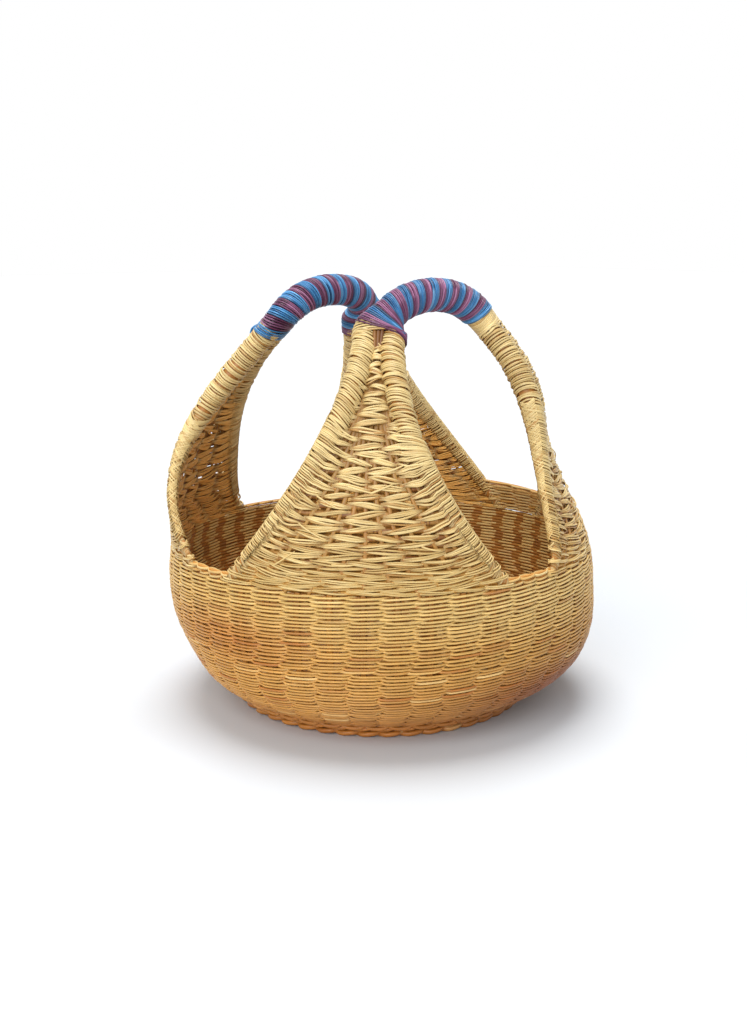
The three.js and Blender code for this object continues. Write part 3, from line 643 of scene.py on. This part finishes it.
def gore_place(gore, s, across):
    """Point of a gore's middle layer with its directions across, out and along."""
    x, y, at_a, at_b, swing, _ = GORES[gore]
    s, across = np.broadcast_arrays(np.asarray(s, float), np.asarray(across, float))
    radius = gore_radius(gore, s, across)
    at_neck = NECK_ANGLE + math.radians(swing)
    angle = math.pi / 4 + (at_neck - math.pi / 4) * s**2 + across / radius
    above, below = gore_radius(gore, s + 0.01, across), gore_radius(gore, np.maximum(0, s - 0.01), across)
    draw = (above - below) / 0.02
    run = np.hypot(draw, GORE_RISE)
    rise, draw = GORE_RISE / run, draw / run
    twisted = (at_b - at_a) * gore_swell(s) / (2 * half_width(s))
    cos, sin = np.cos(angle), np.sin(angle)
    flip = np.array([x, y, 1.0])
    point = np.stack([radius * cos, radius * sin, GORE_FOOT + GORE_RISE * s], -1) * flip
    side = unit(np.stack([twisted * cos - sin, twisted * sin + cos, np.zeros_like(sin)], -1) * flip)
    out = np.stack([cos * rise, sin * rise, -draw], -1) * flip
    out = unit(out - side * np.sum(out * side, -1, keepdims=True))
    along = np.stack([cos * draw, sin * draw, rise], -1) * flip
    return point, side, out, along


def gore_colour(s, luck):
    colour = mix(GOLD, PALE, np.clip(0.35 + 0.5 * smooth(s, 0.0, 0.6) - 0.22 * luck, 0, 1))
    colour = mix(colour, TAN, np.clip(0.55 * luck - 0.45, 0, 0.8))
    return 0.9 * colour * (1 - 0.08 * luck)[..., None]


GORE_PITCH = 7.5
RIM_PITCH = 3.6  # the courses next to the bowl's are finer
STRAW_HALF = 0.82
GORE_RUN = 226.0  # length in mm that a gore's share from 0 to 1 stands for
GORE_REACH = 3.1  # how far a straw lies before or behind the stakes of a gore
NECK_REACH = 3.4  # how much farther it lies between the columns of a neck
WRAP_FROM, WRAP_TO = 1.8, -0.7  # round a wrapped edge, from its face to behind its tip
WRAP_SUNK = 0.4
LAST_WRAPPED = 0.62  # above this the courses fill the groove between the two columns
FIRST_COURSE, TOP_COURSE = 0.006, 0.985
LOWEST, TOP_WRAP = 0.002, 0.97
FULL_FROM = 0.22  # above this the bundles of straws are close and full
SWEEP_FROM = 0.55  # share of the half width at which the straws begin to rise to the edges
FILL_PIECES = 9
GAPS_FROM, GAP_SHARE = 0.12, 0.16  # where the fill has gaps, and the share of it that is left out
STRAY_ENDS = 9
GORE_STAKES = 11


def course_pitch(s):
    return RIM_PITCH + (GORE_PITCH - RIM_PITCH) * smooth(s, 0, 0.3) * (1 - 0.40 * smooth(s, 0.45, 0.65))


def edge_slope(gore, end, s):
    """How steeply the straws rise where they run over a wrapped edge."""
    x, y = GORES[gore][:2]
    right = end * x * y > 0
    slope = 0.40 - 0.70 * smooth(s, 0.40, 0.65) if right else 0.40
    return float(slope * smooth(s, 0, 0.06))


def course_reach(s):
    """Half the width of a course, without its ends round the wrapped edges."""
    return float(panel_half(s) if s < LAST_WRAPPED else edge_middle(s))


def edge_wrap(gore, s, start, slope, end, front):
    """The end of a straw round a wrapped edge, from the panel outwards: path, run, face and share."""
    omega = np.linspace(WRAP_FROM, WRAP_TO, 8)
    way = float(edge_half_across(s)) * (1 + math.cos(WRAP_FROM) + WRAP_FROM - omega)
    here = np.clip(start + slope * way / GORE_RUN, LOWEST, TOP_WRAP)
    point, side, out, along = gore_place(gore, here, end * edge_middle(here))
    aside = end * side * np.cos(omega)[:, None]
    outward = front * out * np.sin(omega)[:, None]
    wide = (edge_half_across(here) - WRAP_SUNK)[:, None]
    shell = (edge_depth(here) - WRAP_SUNK + rng.normal(0, 0.2))[:, None]
    return point + aside * wide + outward * shell, along, unit(aside + outward), here


def straw_path(gore, s, dashes, phase, slant, offset):
    """One straw of a course: across the panel, and at its ends round the wrapped edges."""
    u = np.linspace(-1, 1, 38)
    theta = math.pi * dashes * u / 2 + phase
    wrapped = s < LAST_WRAPPED
    reach = course_reach(s)
    slopes = {end: edge_slope(gore, end, s) for end in (-1, 1)}
    bend = twist(theta, 1.35)
    stray = 1.8 * wave(u, 1, 2, 4) if rng.uniform() < 0.12 else 0
    least = 0.75 - 0.5 * smooth(s, 0.05, 0.25)
    near_edge = smooth(np.abs(u), 0.8, 1.0)
    gather = least + (1 - least) * np.maximum(np.abs(bend) ** 1.5, near_edge)
    lift = slant * np.sin(theta) * (1 - near_edge) + offset * gather
    lift = lift + 0.4 * wave(u, 2, 2, 5) + stray
    outer = np.clip((np.abs(u) - SWEEP_FROM) / (1 - SWEEP_FROM), 0, 1)
    slope = np.where(u < 0, slopes[-1], slopes[1])
    lift = lift + slope * outer**2 * (1 - SWEEP_FROM) / 2 * reach
    at = np.clip(s + lift / GORE_RUN, LOWEST, TOP_COURSE)
    point, _, out, along = gore_place(gore, at, u * reach)
    height = GORE_REACH + NECK_REACH * smooth(s, 0.55, 0.85)
    climb = max(0.0, float(edge_depth(s)) - WRAP_SUNK - height) if wrapped else 0
    ramp = climb * 0.6 * smooth(np.abs(u), SWEEP_FROM, 1.0)
    deep = (height * rng.uniform(0.88, 1.08) + ramp) * bend + 0.35 * wave(u, 2, 3, 8)
    stretches = [(point + out * deep[:, None], along, out, at)]
    if wrapped:
        for end, last in ((-1, 0), (1, -1)):
            front = 1 if bend[last] > 0 else -1
            turned = edge_wrap(gore, s, at[last], slopes[end], end, front)
            if end < 0:
                stretches.insert(0, tuple(values[::-1] for values in turned))
            else:
                stretches.append(turned)
    return tuple(np.concatenate(group) for group in zip(*stretches)), theta, bend


def add_course(weave, gore, s, dashes, phase, turn):
    """One course of a gore: two twined bundles of straws."""
    pitch = course_pitch(s)
    straws = 4 if s > FULL_FROM or pitch > 6.8 else 3 if pitch > 4.8 else 2
    fuller = 1 + 0.2 * float(smooth(s, FULL_FROM - 0.1, FULL_FROM + 0.1))
    for weft in (0, 1):
        slant = turn * rng.uniform(0.12, 0.30) * pitch
        for number in range(straws):
            offset = ((number + 0.5) / straws - 0.5) * 0.92 * pitch + rng.normal(0, 0.25)
            lines, theta, bend = straw_path(gore, s, dashes, phase + math.pi * weft, slant, offset)
            path, run, face, at = lines
            luck = rng.normal() * np.ones(len(path))
            span = (len(path) - len(theta)) // 2
            panel = slice(span, span + len(theta))
            luck[panel] = 0.75 * luck[panel] + 0.7 * by_dash(1, theta[None])[0]
            shade, inside = np.zeros(len(path)), np.zeros(len(path))
            # Painted shade: the straws are darkened towards umber where they dive under their neighbours
            shade[panel] = 0.45 * smooth(s, 0.03, 0.2) * (1 - smooth(np.abs(bend), 0.1, 0.7))
            # Painted light: the parts of the straws on the inside of the gore are made paler, to lift the
            # shade there
            inside[panel] = 0.8 * smooth(-bend, 0.2, 0.7)
            colour = mix(mix(gore_colour(at, luck), UMBER, shade), 1.35 * STRAW, inside)
            half = STRAW_HALF * fuller * rng.uniform(0.85, 1.15)
            weave.add(path, run, face, half, 0.95 * half, colour, sides=5)


def close_course(weave, gore, s, pitch):
    """Flat straws in the middle layer behind one course, with a gap left here and there."""
    reach = course_reach(s) + (4.0 if s < LAST_WRAPPED else 0.0)
    ends = np.linspace(-1, 1, FILL_PIECES + 1)
    for start, end in zip(ends, ends[1:]):
        if s > GAPS_FROM and rng.uniform() < GAP_SHARE:
            continue
        u = np.linspace(start - 0.02, end + 0.02, 5)
        point, _, out, along = gore_place(gore, s, u * reach)
        # Painted shade: the fill is darkened towards umber above the rim, to stand in for the shade in the
        # gaps between the courses
        colour = mix(STRAW, UMBER, rng.uniform(0.4, 0.95) * smooth(s, -0.02, 0.15))
        weave.add(point, along, out, 0.5 * pitch, 0.6, colour, sides=4)


def add_stray_end(weave, gore):
    """A short end of straw that lies aslant over the courses."""
    s, u = rng.uniform(0.08, 0.55), rng.uniform(-0.7, 0.7)
    way = np.linspace(0, 1, 10)
    length, slope = rng.uniform(14, 26), rng.uniform(-0.7, 0.7)
    at = s + (slope * length * way + 3.0 * way**2) / GORE_RUN
    point, _, out, along = gore_place(gore, at, u * float(panel_half(s)) + length * (way - 0.5))
    lifted = point + out * (2.0 + 2.6 * np.sin(math.pi * way) ** 0.7)[:, None]
    colour = gore_colour(at, np.full_like(way, -0.8))
    half = 1.0 - 0.35 * way
    weave.add(lifted, along, out, half, 0.8 * half, colour, sides=5)


def build_gore_weave(gore):
    """Loose bundles of straws twined from one wrapped edge to the other."""
    weave = Weave()
    s = FIRST_COURSE
    turn = 1
    while s < TOP_COURSE:
        column = 30 + 9 * smooth(s, 0.0, 0.12) - 18 * min(1, s / 0.7)
        dashes = max(2, round(2 * float(panel_half(s)) / column + rng.uniform(-0.2, 0.2)))
        turn = -turn if rng.uniform() < 0.8 else turn
        phase = rng.normal(0, 0.3) + (math.pi / 2 if dashes % 2 else 0)
        add_course(weave, gore, s, dashes, phase, turn)
        close_course(weave, gore, s, course_pitch(s))
        s += course_pitch(s) * rng.uniform(0.9, 1.1) / GORE_RUN
    for _ in range(STRAY_ENDS):
        add_stray_end(weave, gore)
    nodes = [f"{gore}_gore_weft_outer", f"{gore}_gore_weft_inner", f"{gore}_neck_weft"]
    make_piece(weave, f"{gore}_gore_weave", "pale_straw", nodes, joint_body=GORES[gore][-1])


def build_gore_stakes(gore):
    weave = Weave()
    s = np.linspace(-0.01, 0.9, 48)[None].repeat(GORE_STAKES, 0)
    u = np.linspace(-0.93, 0.93, GORE_STAKES)[:, None]
    across = u * np.maximum(panel_half(s), 1.0) + 1.2 * np.sin(9 * s + 5 * u)
    point, side, out, _ = gore_place(gore, np.maximum(s, 0.0), across)
    point[..., 2] += np.minimum(s, 0) * GORE_RISE
    luck = rng.normal(size=(GORE_STAKES, 1))
    colour = mix(STRAW, TAN, np.clip(0.4 + 0.4 * luck, 0, 1))
    # Painted shade: the stakes are darkened, more towards the neck, to stand in for the shade of the gaps
    # and of the groove between the columns where they show
    colour = mix(colour, 0.5 * (STRAW + UMBER), smooth(s, 0.3, 0.6))
    weave.add(point, side, out, 2.3, 1.1, 0.7 * colour)
    nodes = [f"{gore}_gore_stake_{i}" for i in (1, 2, 3)]
    make_piece(weave, f"{gore}_gore_stakes", "brown_straw", nodes, joint_body=GORES[gore][-1])


def edge_line(gore, side, s):
    """Centre line of a wrapped edge, with directions along it, out and aside."""
    def at(share):
        return gore_place(gore, share, side * edge_middle(share))

    point, _, out, _ = at(s)
    run = unit(at(s + 0.004)[0] - at(np.maximum(s - 0.004, 0))[0])
    out = unit(out - run * np.sum(out * run, -1, keepdims=True))
    return point, run, out, np.cross(run, out)


RING_POINTS = 18
RING_STEP = 2.1
RING_HALF_WIDE, RING_HALF_DEEP = 1.08, 0.9
EDGE_UNDER = 2.2  # how much lower an edge's own turns lie where the courses run over it
EDGE_CORE = 2.4  # how far the bundle in an edge lies below its face


def wraps(weave, centre, run, out, aside, wide, deep, slope, colour):
    """Closed turns of straw round a bundle, one at each of the given places."""
    count = len(centre)
    psi = full_turn(RING_POINTS)[None]
    uneven = 1 + 0.03 * np.sin(psi + rng.uniform(0, TURN, (count, 1)))
    cos = np.cos(psi) * (wide[:, None] - RING_HALF_DEEP) * uneven
    sin = np.sin(psi) * (deep[:, None] - RING_HALF_DEEP) * uneven
    radial = np.cos(psi)[..., None] * aside[:, None] + np.sin(psi)[..., None] * out[:, None]
    point = centre[:, None] + aside[:, None] * cos[..., None] + out[:, None] * sin[..., None]
    point = point + run[:, None] * (slope[:, None] * cos)[..., None]
    half_wide = RING_HALF_WIDE * rng.uniform(0.82, 1.12, (count, 1))
    weave.add(point, run[:, None], radial, half_wide, RING_HALF_DEEP, colour, closed=True, sides=5)


def build_edge(gore, side, name):
    """The turns of straw round one edge of a gore and its column, over a brown bundle."""
    weave = Weave()
    dense = np.linspace(0, 1.0, 400)
    length = lengths(edge_line(gore, side, dense)[0])
    count = int(length[-1] / RING_STEP)
    uneven = 0.16 * np.cos(np.arange(count) * TURN / 4) + rng.uniform(-0.14, 0.14, count)
    place = (np.arange(count) + 0.5 + uneven) / count * length[-1]
    s = np.interp(place, length, dense)
    point, run, out, aside = edge_line(gore, side, s)
    x, y = GORES[gore][:2]
    right = side * x * y > 0
    lean = 0.34 - 0.66 * smooth(s, 0.3, 0.65) if right else -0.34
    lean = lean + rng.normal(0, 0.09, count) + 0.08 * np.sin(place / 17 + side)
    luck = 0.9 * rng.normal(size=(count, 1))
    under = 1 - smooth(s, LAST_WRAPPED - 0.04, LAST_WRAPPED + 0.02)
    # Painted shade: the turns that lie under the courses are darkened towards umber
    colour = mix(gore_colour(s[:, None] + 0.3, luck), UMBER, 0.3 * under[:, None])
    swell = 0.4 + rng.normal(0, 0.3, count) - EDGE_UNDER * under
    wide, deep = edge_radius(s) + swell, edge_depth(s) + swell
    wraps(weave, point, run, out, aside, wide, deep, lean, colour)
    inside = np.linspace(0, 1.0, 70)
    point, run, out, aside = edge_line(gore, side, inside)
    wide, deep = edge_radius(inside) - EDGE_CORE, edge_depth(inside) - EDGE_CORE
    weave.add(point, aside, out, wide, deep, 0.6 * (TAN + UMBER), sides=10)
    nodes = [f"{gore}_gore_edge_{name}", f"{gore}_neck_column_{name}"]
    make_piece(weave, f"{gore}_edge_wrap_{name}", "pale_straw", nodes, joint_body=GORES[gore][-1])


# Openings between the gores

# The gores on both sides, which of their edges face it, and how high its floor is filled
OPENINGS = {
    "right": ("right", "back", -1, 24.0),
    "back": ("back", "left", 1, 0.0),
    "left": ("left", "front", -1, 0.0),
    "front": ("front", "right", 1, 0.0),
}


def opening_place(opening, s, way):
    """Point between the two gores at an opening, way 0 at one edge and 1 at the other."""
    one, two, facing, _ = OPENINGS[opening]
    a = gore_place(one, s, facing * half_width(s))[0]
    b = gore_place(two, s, facing * half_width(s))[0]
    way = np.asarray(way)[..., None]
    flat = unit((a + (b - a) * way) * np.array([1, 1, 0]))
    reach_a, reach_b = (np.hypot(p[..., 0], p[..., 1])[..., None] for p in (a, b))
    reach = reach_a * (1 - way) + reach_b * way
    return flat * reach + UP * (a[..., 2:] * (1 - way) + b[..., 2:] * way), flat


RIM_TALL, RIM_SUNK = 8.0, 1.2


def opening_rows(opening, low, high):
    """Close courses across an opening, between two heights above the bowl's rim."""
    weave = Weave()
    rows = round((high - low) / COURSE_PITCH)
    way = np.linspace(-0.12, 1.12, 44)
    for row in range(rows):
        s = (low + (row + 0.5) / rows * (high - low)) / GORE_RISE
        middle, out = opening_place(opening, s, way)
        shift = rng.normal(0, 0.3)
        for weft in (0, 1):
            theta = math.pi * 2.6 * way + math.pi * weft + shift
            bend = twist(theta, 1.8)
            point = middle + out * (2.7 * bend)[:, None] + UP * (0.5 * np.sin(theta) - 0.5 * bend)[:, None]
            luck = 0.7 * by_dash(1, theta[None])[0] + 0.6 * rng.normal()
            colour = mix(PALE, STRAW, np.clip(0.5 + 0.25 * luck, 0, 1)) * 0.92
            half_wide = WEFT_HALF_WIDE - 0.2 * np.abs(bend)
            weave.add(point, UP, out, half_wide, WEFT_HALF_DEEP, colour)
        weave.add(middle, UP, out, FILL_SHARE * COURSE_PITCH, FILL_HALF_DEEP, TAN, sides=4)
    return weave


def build_opening(opening):
    fill = OPENINGS[opening][3]
    if fill:
        weave = opening_rows(opening, 0.0, fill)
        make_piece(weave, f"{opening}_opening_weave", "brown_straw", [f"{opening}_opening_weft"])
    weave = opening_rows(opening, fill - RIM_SUNK, fill + RIM_TALL - RIM_SUNK)
    make_piece(weave, f"{opening}_rim_weave", "pale_straw", [f"{opening}_rim_binding"])


# Handles


def half_handle(gore):
    """Stations from down a gore's neck to the crown, with the core's half sizes and the way in mm."""
    x, y = GORES[gore][:2]
    neck, across, _, along = gore_place(gore, 1.0, 0.0)
    start = neck + 0.3 * along
    crown = np.array([0, y * CROWN_Y, CROWN_HEIGHT])
    level = np.array([-x, 0.0, 0.0])
    pulls = (start, start + NECK_PULL * along, crown - CROWN_PULL * level, crown)
    curve = bezier(pulls, np.linspace(0, 1, 241))
    step = lengths(curve)
    share = np.linspace(0, 1, 121)
    point = np.stack([np.interp(share, step / step[-1], column) for column in curve.T], 1)
    tangent = unit(np.gradient(point, axis=0))
    tangent[0], tangent[-1] = along, level
    sides = []
    for direction in tangent:
        across = across - direction * np.dot(across, direction)
        across = across / np.linalg.norm(across)
        sides.append(across)
    sides = np.array(sides)
    out = unit(np.cross(tangent, sides)) * -x * y
    settled = smooth(share, 0, GRIP_FROM)
    half_wide = HALF_AT_NECK + (CORE_RADIUS - HALF_AT_NECK) * settled
    half_deep = COLUMN_RADIUS + (CORE_RADIUS - COLUMN_RADIUS) * settled
    down = np.linspace(-BELOW_NECK, 0, 14)[:-1]
    s = 1 + down / GORE_RUN
    below, below_side, below_out, _ = gore_place(gore, s, np.zeros_like(s))
    lower = (below, below_side, below_out, half_width(s), edge_radius(s), down)
    upper = (point, sides, out, half_wide, half_deep, share * step[-1])
    return tuple(np.concatenate(pair) for pair in zip(lower, upper))


def handle_table(name):
    """The stations of both halves of a handle, their way in mm from the first neck, and its length."""
    one, two = (half_handle(gore) for gore in HANDLES[name][:2])
    joined = [np.concatenate([a, b[-2::-1]]) for a, b in zip(one[:5], two[:5])]
    length = one[5][-1] + two[5][-1]
    way = np.concatenate([one[5], (length - two[5])[-2::-1]])
    return (*joined, way, length)


def handle_place(table, way, turn, lift):
    """Point at a way in mm along a handle and a turn about it, lifted off the core."""
    points, sides, outs, wide, deep, ways, _ = table

    def pick(columns):
        return np.stack([np.interp(way, ways, c) for c in columns.T], -1)

    side, out = unit(pick(sides)), unit(pick(outs))
    reach_side = (np.interp(way, ways, wide) + lift) * np.cos(turn)
    reach_out = (np.interp(way, ways, deep) + lift) * np.sin(turn)
    point = pick(points) + side * reach_side[..., None] + out * reach_out[..., None]
    radial = unit(side * np.cos(turn)[..., None] + out * np.sin(turn)[..., None])
    return point, radial


BAND_STRAWS = 5
BAND_LIFT = 1.8
LOOP_POINTS = 30
TUCK_LOOP = 0.14  # share of a loop in which the ends of a band go under
TUCK_DEPTH = 4.6
GROOVE_FROM, GROOVE_TO = -14.0, 4.0  # ways in mm of the straws in the grooves of the necks
CORE_STRAWS = 16


def lay_along(weave, table, way, turn, lift, half_wide, half_deep, colour):
    """One straw laid on a handle, through the given ways and turns."""
    point, radial = handle_place(table, way, turn, lift)
    side = unit(np.cross(radial, unit(np.gradient(point, axis=0))))
    weave.add(point, side, radial, half_wide, half_deep, colour)


def helix(weave, table, first, pitch, loop, palette, slant):
    """Straws laid side by side in one band that runs round a handle."""
    width = pitch / 2 / BAND_STRAWS
    turn = TURN * loop
    tucked = 1 - smooth(np.minimum(loop - loop[0], loop[-1] - loop), 0, TUCK_LOOP)
    for number in range(BAND_STRAWS):
        place = ((number + 0.5) / BAND_STRAWS - 0.5) / 2
        way = first + pitch * (loop + place) + 0.16 * width * wave(loop, 3, 4, 11)
        way = way - slant * np.cos(turn) * (1 - smooth(way, 0, table[-1]))
        lift = BAND_LIFT + 0.3 * wave(loop, 2, 3, 8) - TUCK_DEPTH * tucked
        luck = by_dash(1, (turn * 1.5)[None])[0]
        shade = palette[rng.integers(PAINTED_HIGHLIGHT_SHADE)]
        # Painted highlight: the strand is mixed towards its dye's pale shade, more on some dashes, in place
        # of glossy streaks of light along it
        painted_highlight = 0.35 * rng.uniform() ** 2 + 0.2 * np.clip(luck, 0, 2)
        colour = mix(shade, palette[PAINTED_HIGHLIGHT_SHADE], painted_highlight) * np.clip(1 + 0.2 * luck, 0.55, 1.6)[:, None]
        half_wide = width / 2 * rng.uniform(0.9, 1.12)
        lay_along(weave, table, way, turn, lift, half_wide, 1.1, colour)


def add_loose_end(weave, table):
    """The end of the winding, tucked out on the outside of the left neck."""
    share = np.linspace(0, 1, 10)
    half = 1.5 - 0.5 * share
    for number in range(3):
        way = -8.0 - (6.0 + number) * share
        turn = math.pi / 2 + 0.18 * (number - 1) + 0.2 * share
        lift = 1.2 + 2.4 * np.sin(3 * share)
        lay_along(weave, table, way, turn, lift, half, 0.7 * half, BLUES[number] * 0.9)


def build_windings(name, table):
    first, past, loops, turns, slant = HANDLES[name][2:]
    pitch = (table[-1] + past - first) / loops
    for colour, offset, palette in (("purple", 0.0, PURPLES), ("blue", 0.5, BLUES)):
        weave = Weave()
        start, end = turns[colour]
        loop = np.linspace(start, end, int((end - start) * LOOP_POINTS))
        helix(weave, table, first + offset * pitch, pitch, loop, palette, slant)
        if name == "back" and colour == "blue":
            add_loose_end(weave, table)
        nodes = [f"{name}_handle_winding_{colour}"]
        make_piece(weave, f"{name}_winding_{colour}", f"{colour}_straw", nodes, f"{name}_handle")


def add_bare_turns(weave, table, name):
    """Turns of bare straw between the columns of a neck and the winding."""
    psi = full_turn(32)
    for end in (0, 1):
        for distance in np.arange(-1.0, BARE[name][end], RING_STEP):
            way = distance if end == 0 else table[-1] - distance
            point, radial = handle_place(table, way + 1.2 * np.cos(psi), psi, 0.6)
            run = unit(np.cross(np.roll(point, -1, 0) - point, radial))
            colour = gore_colour(0.8, np.array(rng.normal()))
            weave.add(point, run, radial, 1.05, RING_HALF_DEEP, colour, closed=True)


def add_groove_straws(weave, table):
    """Brown straws that close the groove between the columns at the top of a neck, on both faces; their dark
    brown is painted shade of the groove.
    """
    down = np.linspace(GROOVE_FROM, GROOVE_TO, 12)
    lift = -1.8 - 5.5 * smooth(-down, 0, -GROOVE_FROM)
    for face in (-1, 1):
        for end in (0, 1):
            way = down if end == 0 else table[-1] - down
            for number in range(3):
                turn = face * math.pi / 2 + 0.16 * (number - 1) * np.ones_like(down)
                # Painted shade: dark brown in place of the shade in the groove
                shade = mix(TAN, UMBER, rng.uniform(0.3, 0.9)) * 0.7
                lay_along(weave, table, way, turn, lift, 2.0, 1.6, shade)


def add_core(weave, table):
    """The dark bundle under the winding; its darkness is painted shade, seen in the gaps between the
    winding's straws.
    """
    way = np.linspace(-2.0, table[-1] + 2.0, 90)
    for index in range(CORE_STRAWS):
        turn = np.full_like(way, index / CORE_STRAWS * TURN)
        # Painted shade: the bundle is a darkened purple so that the gaps between the winding's straws show
        # dark
        shade = PURPLES[3] * rng.uniform(0.4, 0.7)
        lay_along(weave, table, way, turn, -1.6, 3.6, 1.6, shade)


def build_handle(name):
    table = handle_table(name)
    build_windings(name, table)
    weave = Weave()
    add_bare_turns(weave, table, name)
    add_groove_straws(weave, table)
    add_core(weave, table)
    make_piece(weave, f"{name}_handle_bundle", "brown_straw", [f"{name}_handle_core"], f"{name}_handle")


build_bowl()
build_stakes()
build_base()
build_foot()
for gore_name in GORES:
    build_gore_weave(gore_name)
    build_gore_stakes(gore_name)
    build_edge(gore_name, -1, "a")
    build_edge(gore_name, 1, "b")
for opening_name in OPENINGS:
    build_opening(opening_name)
for handle_name in HANDLES:
    build_handle(handle_name)


# Camera, light and floor


def build_camera(back, right):
    lens = bpy.data.cameras.new("camera")
    lens.lens = LENS
    camera = add_object("camera", lens)
    camera.location = Vector((0, 0, AIM_HEIGHT)) - right * AIM_LEFT + back * DISTANCE
    camera.rotation_euler = back.to_track_quat("Z", "Y").to_euler()
    bpy.context.scene.camera = camera
    bpy.context.scene.view_settings.view_transform = "Standard"


def build_world():
    """White where it is seen, mirrored or looked through, and dimmer where it lights the basket."""
    world = bpy.data.worlds.new("studio")
    bpy.context.scene.world = world
    world.use_nodes = True
    nodes, links = world.node_tree.nodes, world.node_tree.links
    paths = nodes.new("ShaderNodeLightPath")
    strength = nodes.new("ShaderNodeMapRange")
    set_inputs(strength, {"To Min": WORLD_LIGHT, "To Max": WORLD_SEEN})
    seen = paths.outputs["Is Camera Ray"]
    for other in ("Is Glossy Ray", "Is Transmission Ray"):
        either = nodes.new("ShaderNodeMath")
        either.operation = "MAXIMUM"
        links.new(seen, either.inputs[0])
        links.new(paths.outputs[other], either.inputs[1])
        seen = either.outputs[0]
    links.new(seen, strength.inputs["Value"])
    background = nodes["Background"]
    set_inputs(background, {"Color": (1, 1, 1, 1)})
    links.new(strength.outputs["Result"], background.inputs["Strength"])


def build_lamps(back, right):
    lamps = (
        ("top", TOP_LIGHT, TOP_SPREAD, Vector((0, 0, 1.0)) - back * 0.16 - right * 0.04),
        ("front", FRONT_LIGHT, FRONT_SPREAD, back + Vector((0, 0, 0.45)) - right * 0.40),
    )
    for name, energy, angle, toward in lamps:
        lamp = bpy.data.lights.new(name, "SUN")
        lamp.energy = energy
        lamp.angle = math.radians(angle)
        sun = add_object(name, lamp)
        sun.rotation_euler = toward.to_track_quat("Z", "Y").to_euler()


def build_floor():
    mesh = bpy.data.meshes.new("floor")
    corners = [(x * FLOOR_HALF, y * FLOOR_HALF, 0) for x, y in ((-1, -1), (1, -1), (1, 1), (-1, 1))]
    mesh.from_pydata(corners, [], [(0, 1, 2, 3)])
    floor = add_object("floor", mesh)
    material = bpy.data.materials.new("floor")
    material.use_nodes = True
    shader = material.node_tree.nodes["Principled BSDF"]
    set_inputs(shader, {"Base Color": FLOOR_COLOUR, "Roughness": 1.0, "Specular IOR Level": 0.0})
    mesh.materials.append(material)


def build_stage():
    level = math.cos(ELEVATION)
    back = Vector((math.sin(AZIMUTH) * level, -math.cos(AZIMUTH) * level, math.sin(ELEVATION)))
    right = Vector((math.cos(AZIMUTH), math.sin(AZIMUTH), 0))
    build_camera(back, right)
    build_world()
    build_lamps(back, right)
    build_floor()


build_stage()
